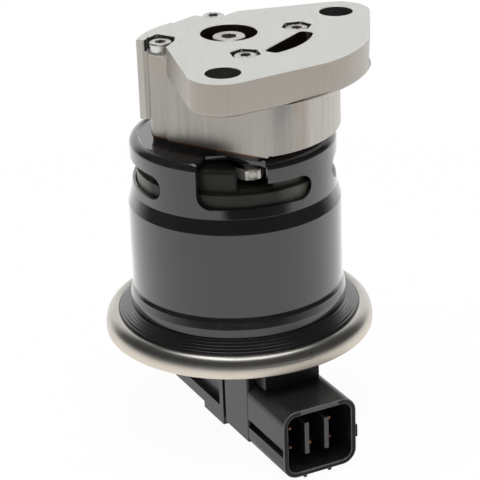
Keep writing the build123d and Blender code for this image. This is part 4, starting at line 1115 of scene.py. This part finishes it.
def moulded_finish():
    """Black moulded plastic with a satin skin, flow marks, a fine grain and painted light on the divider
    tips.
    """
    plastic = Finish("cap_plastic")
    place = plastic.place()
    x, y, z = plastic.split(place)
    face_x, face_y, _ = plastic.facing()
    along = x * MOUTH_WAY.x + y * MOUTH_WAY.y
    across = x * MOUTH_SIDE.x + y * MOUTH_SIDE.y
    # painted light: the divider tips' front faces are lightened
    lit_tip = (face_x * MOUTH_WAY.x + face_y * MOUTH_WAY.y > 0.9) * (along > TIP_REACH)
    lit_tip = lit_tip * (across.size() < TIP_SPREAD) * (z > TIP_LOW_Z) * (z < TIP_HIGH_Z)
    flow = plastic.noise(place, 90.0, 3.0, 0.6)
    grain = plastic.noise(place, 1900.0, 2.0, 0.6)
    return plastic.surface(
        Base_Color=plastic.mix(lit_tip, plastic.mix(flow.ramp(0.4, 0.7), CAP_TONE, CAP_FLOW), CAP_TIP_LIGHT),
        Roughness=grain.ramp(0.25, 0.75, 0.24, 0.34) + flow * 0.05,
        Normal=plastic.bump(grain, 0.2, 0.00003),
    )


def deep_groove(point):
    """The groove over each side rail is cut deeper into the shroud's wall."""
    across = point.dot(MOUTH_SIDE)
    on_floor = abs(abs(across) - GROOVE_FLOOR) < GROOVE_SKIN and point.dot(MOUTH_WAY) > GROOVE_START
    if on_floor and GROOVE_LOW_Z < point.z < GROOVE_HIGH_Z:
        return point - MOUTH_SIDE * (GROOVE_CUT if across > 0 else -GROOVE_CUT)
    return point


cap = soften("sensor_cap", CAP_EDGE, settle=deep_groove, highlight_edges=True)
cap.data.materials.append(moulded_finish())
# painted highlight on the cap's broken edges
cap.data.materials.append(edge_highlight_finish("cap_edge_highlight", CAP_EDGE_HIGHLIGHT, CAP_EDGE_HIGHLIGHT_DULL, 0.0, 0.24))


# ---- Terminals ----
# Five square copper-alloy pins moulded into the cap, tin-flashed and a little pink at their tips.
COPPER_TONE = (0.80, 0.42, 0.26)
COPPER_DULL = (0.60, 0.30, 0.18)
coat_node("terminals", turned_finish("terminal_copper", COPPER_TONE, COPPER_DULL, 0.30))


# ---- Working parts inside ----
# The coil, armature, pole and sensor are closed in by the can and the cap. Each has the finish of
# its own stock: enamelled wire, plated steel, laminate or moulding.
IRON = ((0.46, 0.45, 0.43), (0.36, 0.35, 0.33), 0.9, 0.35)
SPRING_STEEL = ((0.40, 0.39, 0.38), (0.30, 0.29, 0.28), 1.0, 0.28)
BLACK_PLASTIC = ((0.020, 0.020, 0.021), (0.030, 0.030, 0.031), 0.0, 0.45)
INSIDE = {
    "pole_collar": IRON,
    "guide_sleeve": ((0.58, 0.56, 0.53), (0.50, 0.48, 0.45), 1.0, 0.25),
    "bobbin": BLACK_PLASTIC,
    "coil_winding": ((0.42, 0.16, 0.06), (0.28, 0.10, 0.04), 0.8, 0.35),
    "coil_blades": ((0.60, 0.58, 0.54), (0.48, 0.46, 0.42), 1.0, 0.30),
    "armature": IRON,
    "armature_clip": SPRING_STEEL,
    "pole_piece": IRON,
    "cap_seal": ((0.015, 0.015, 0.015), (0.022, 0.022, 0.022), 0.0, 0.6),
    "sensor_plunger": ((0.50, 0.46, 0.38), (0.44, 0.40, 0.33), 0.0, 0.45),
    "wiper_carrier": BLACK_PLASTIC,
    "wipers": ((0.70, 0.48, 0.26), (0.55, 0.36, 0.18), 1.0, 0.25),
    "resistor_board": ((0.05, 0.10, 0.05), (0.03, 0.07, 0.035), 0.0, 0.4),
}
for node, (tone, second, metallic, roughness) in INSIDE.items():
    coat_node(node, plain_finish(node + "_stock", tone, second, metallic, roughness))


def wound_spring(node):
    """A smooth-shaded copy of a CAD coil with its own wire finish, carried on the valve body."""
    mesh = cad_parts[node].data.copy()
    mesh.materials.clear()
    wire = bmesh.new()
    wire.from_mesh(mesh)
    bmesh.ops.remove_doubles(wire, verts=wire.verts, dist=MERGE_GAP)
    for face in wire.faces:
        face.smooth = True
    wire.to_mesh(mesh)
    wire.free()
    mesh.materials.append(plain_finish(node + "_wire", *SPRING_STEEL))
    piece = bpy.data.objects.new(node + "_body", mesh)
    bpy.context.scene.collection.objects.link(piece)
    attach(piece, "valve_body")
    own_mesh(piece)
    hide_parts(node)


wound_spring("return_spring")
wound_spring("sensor_spring")
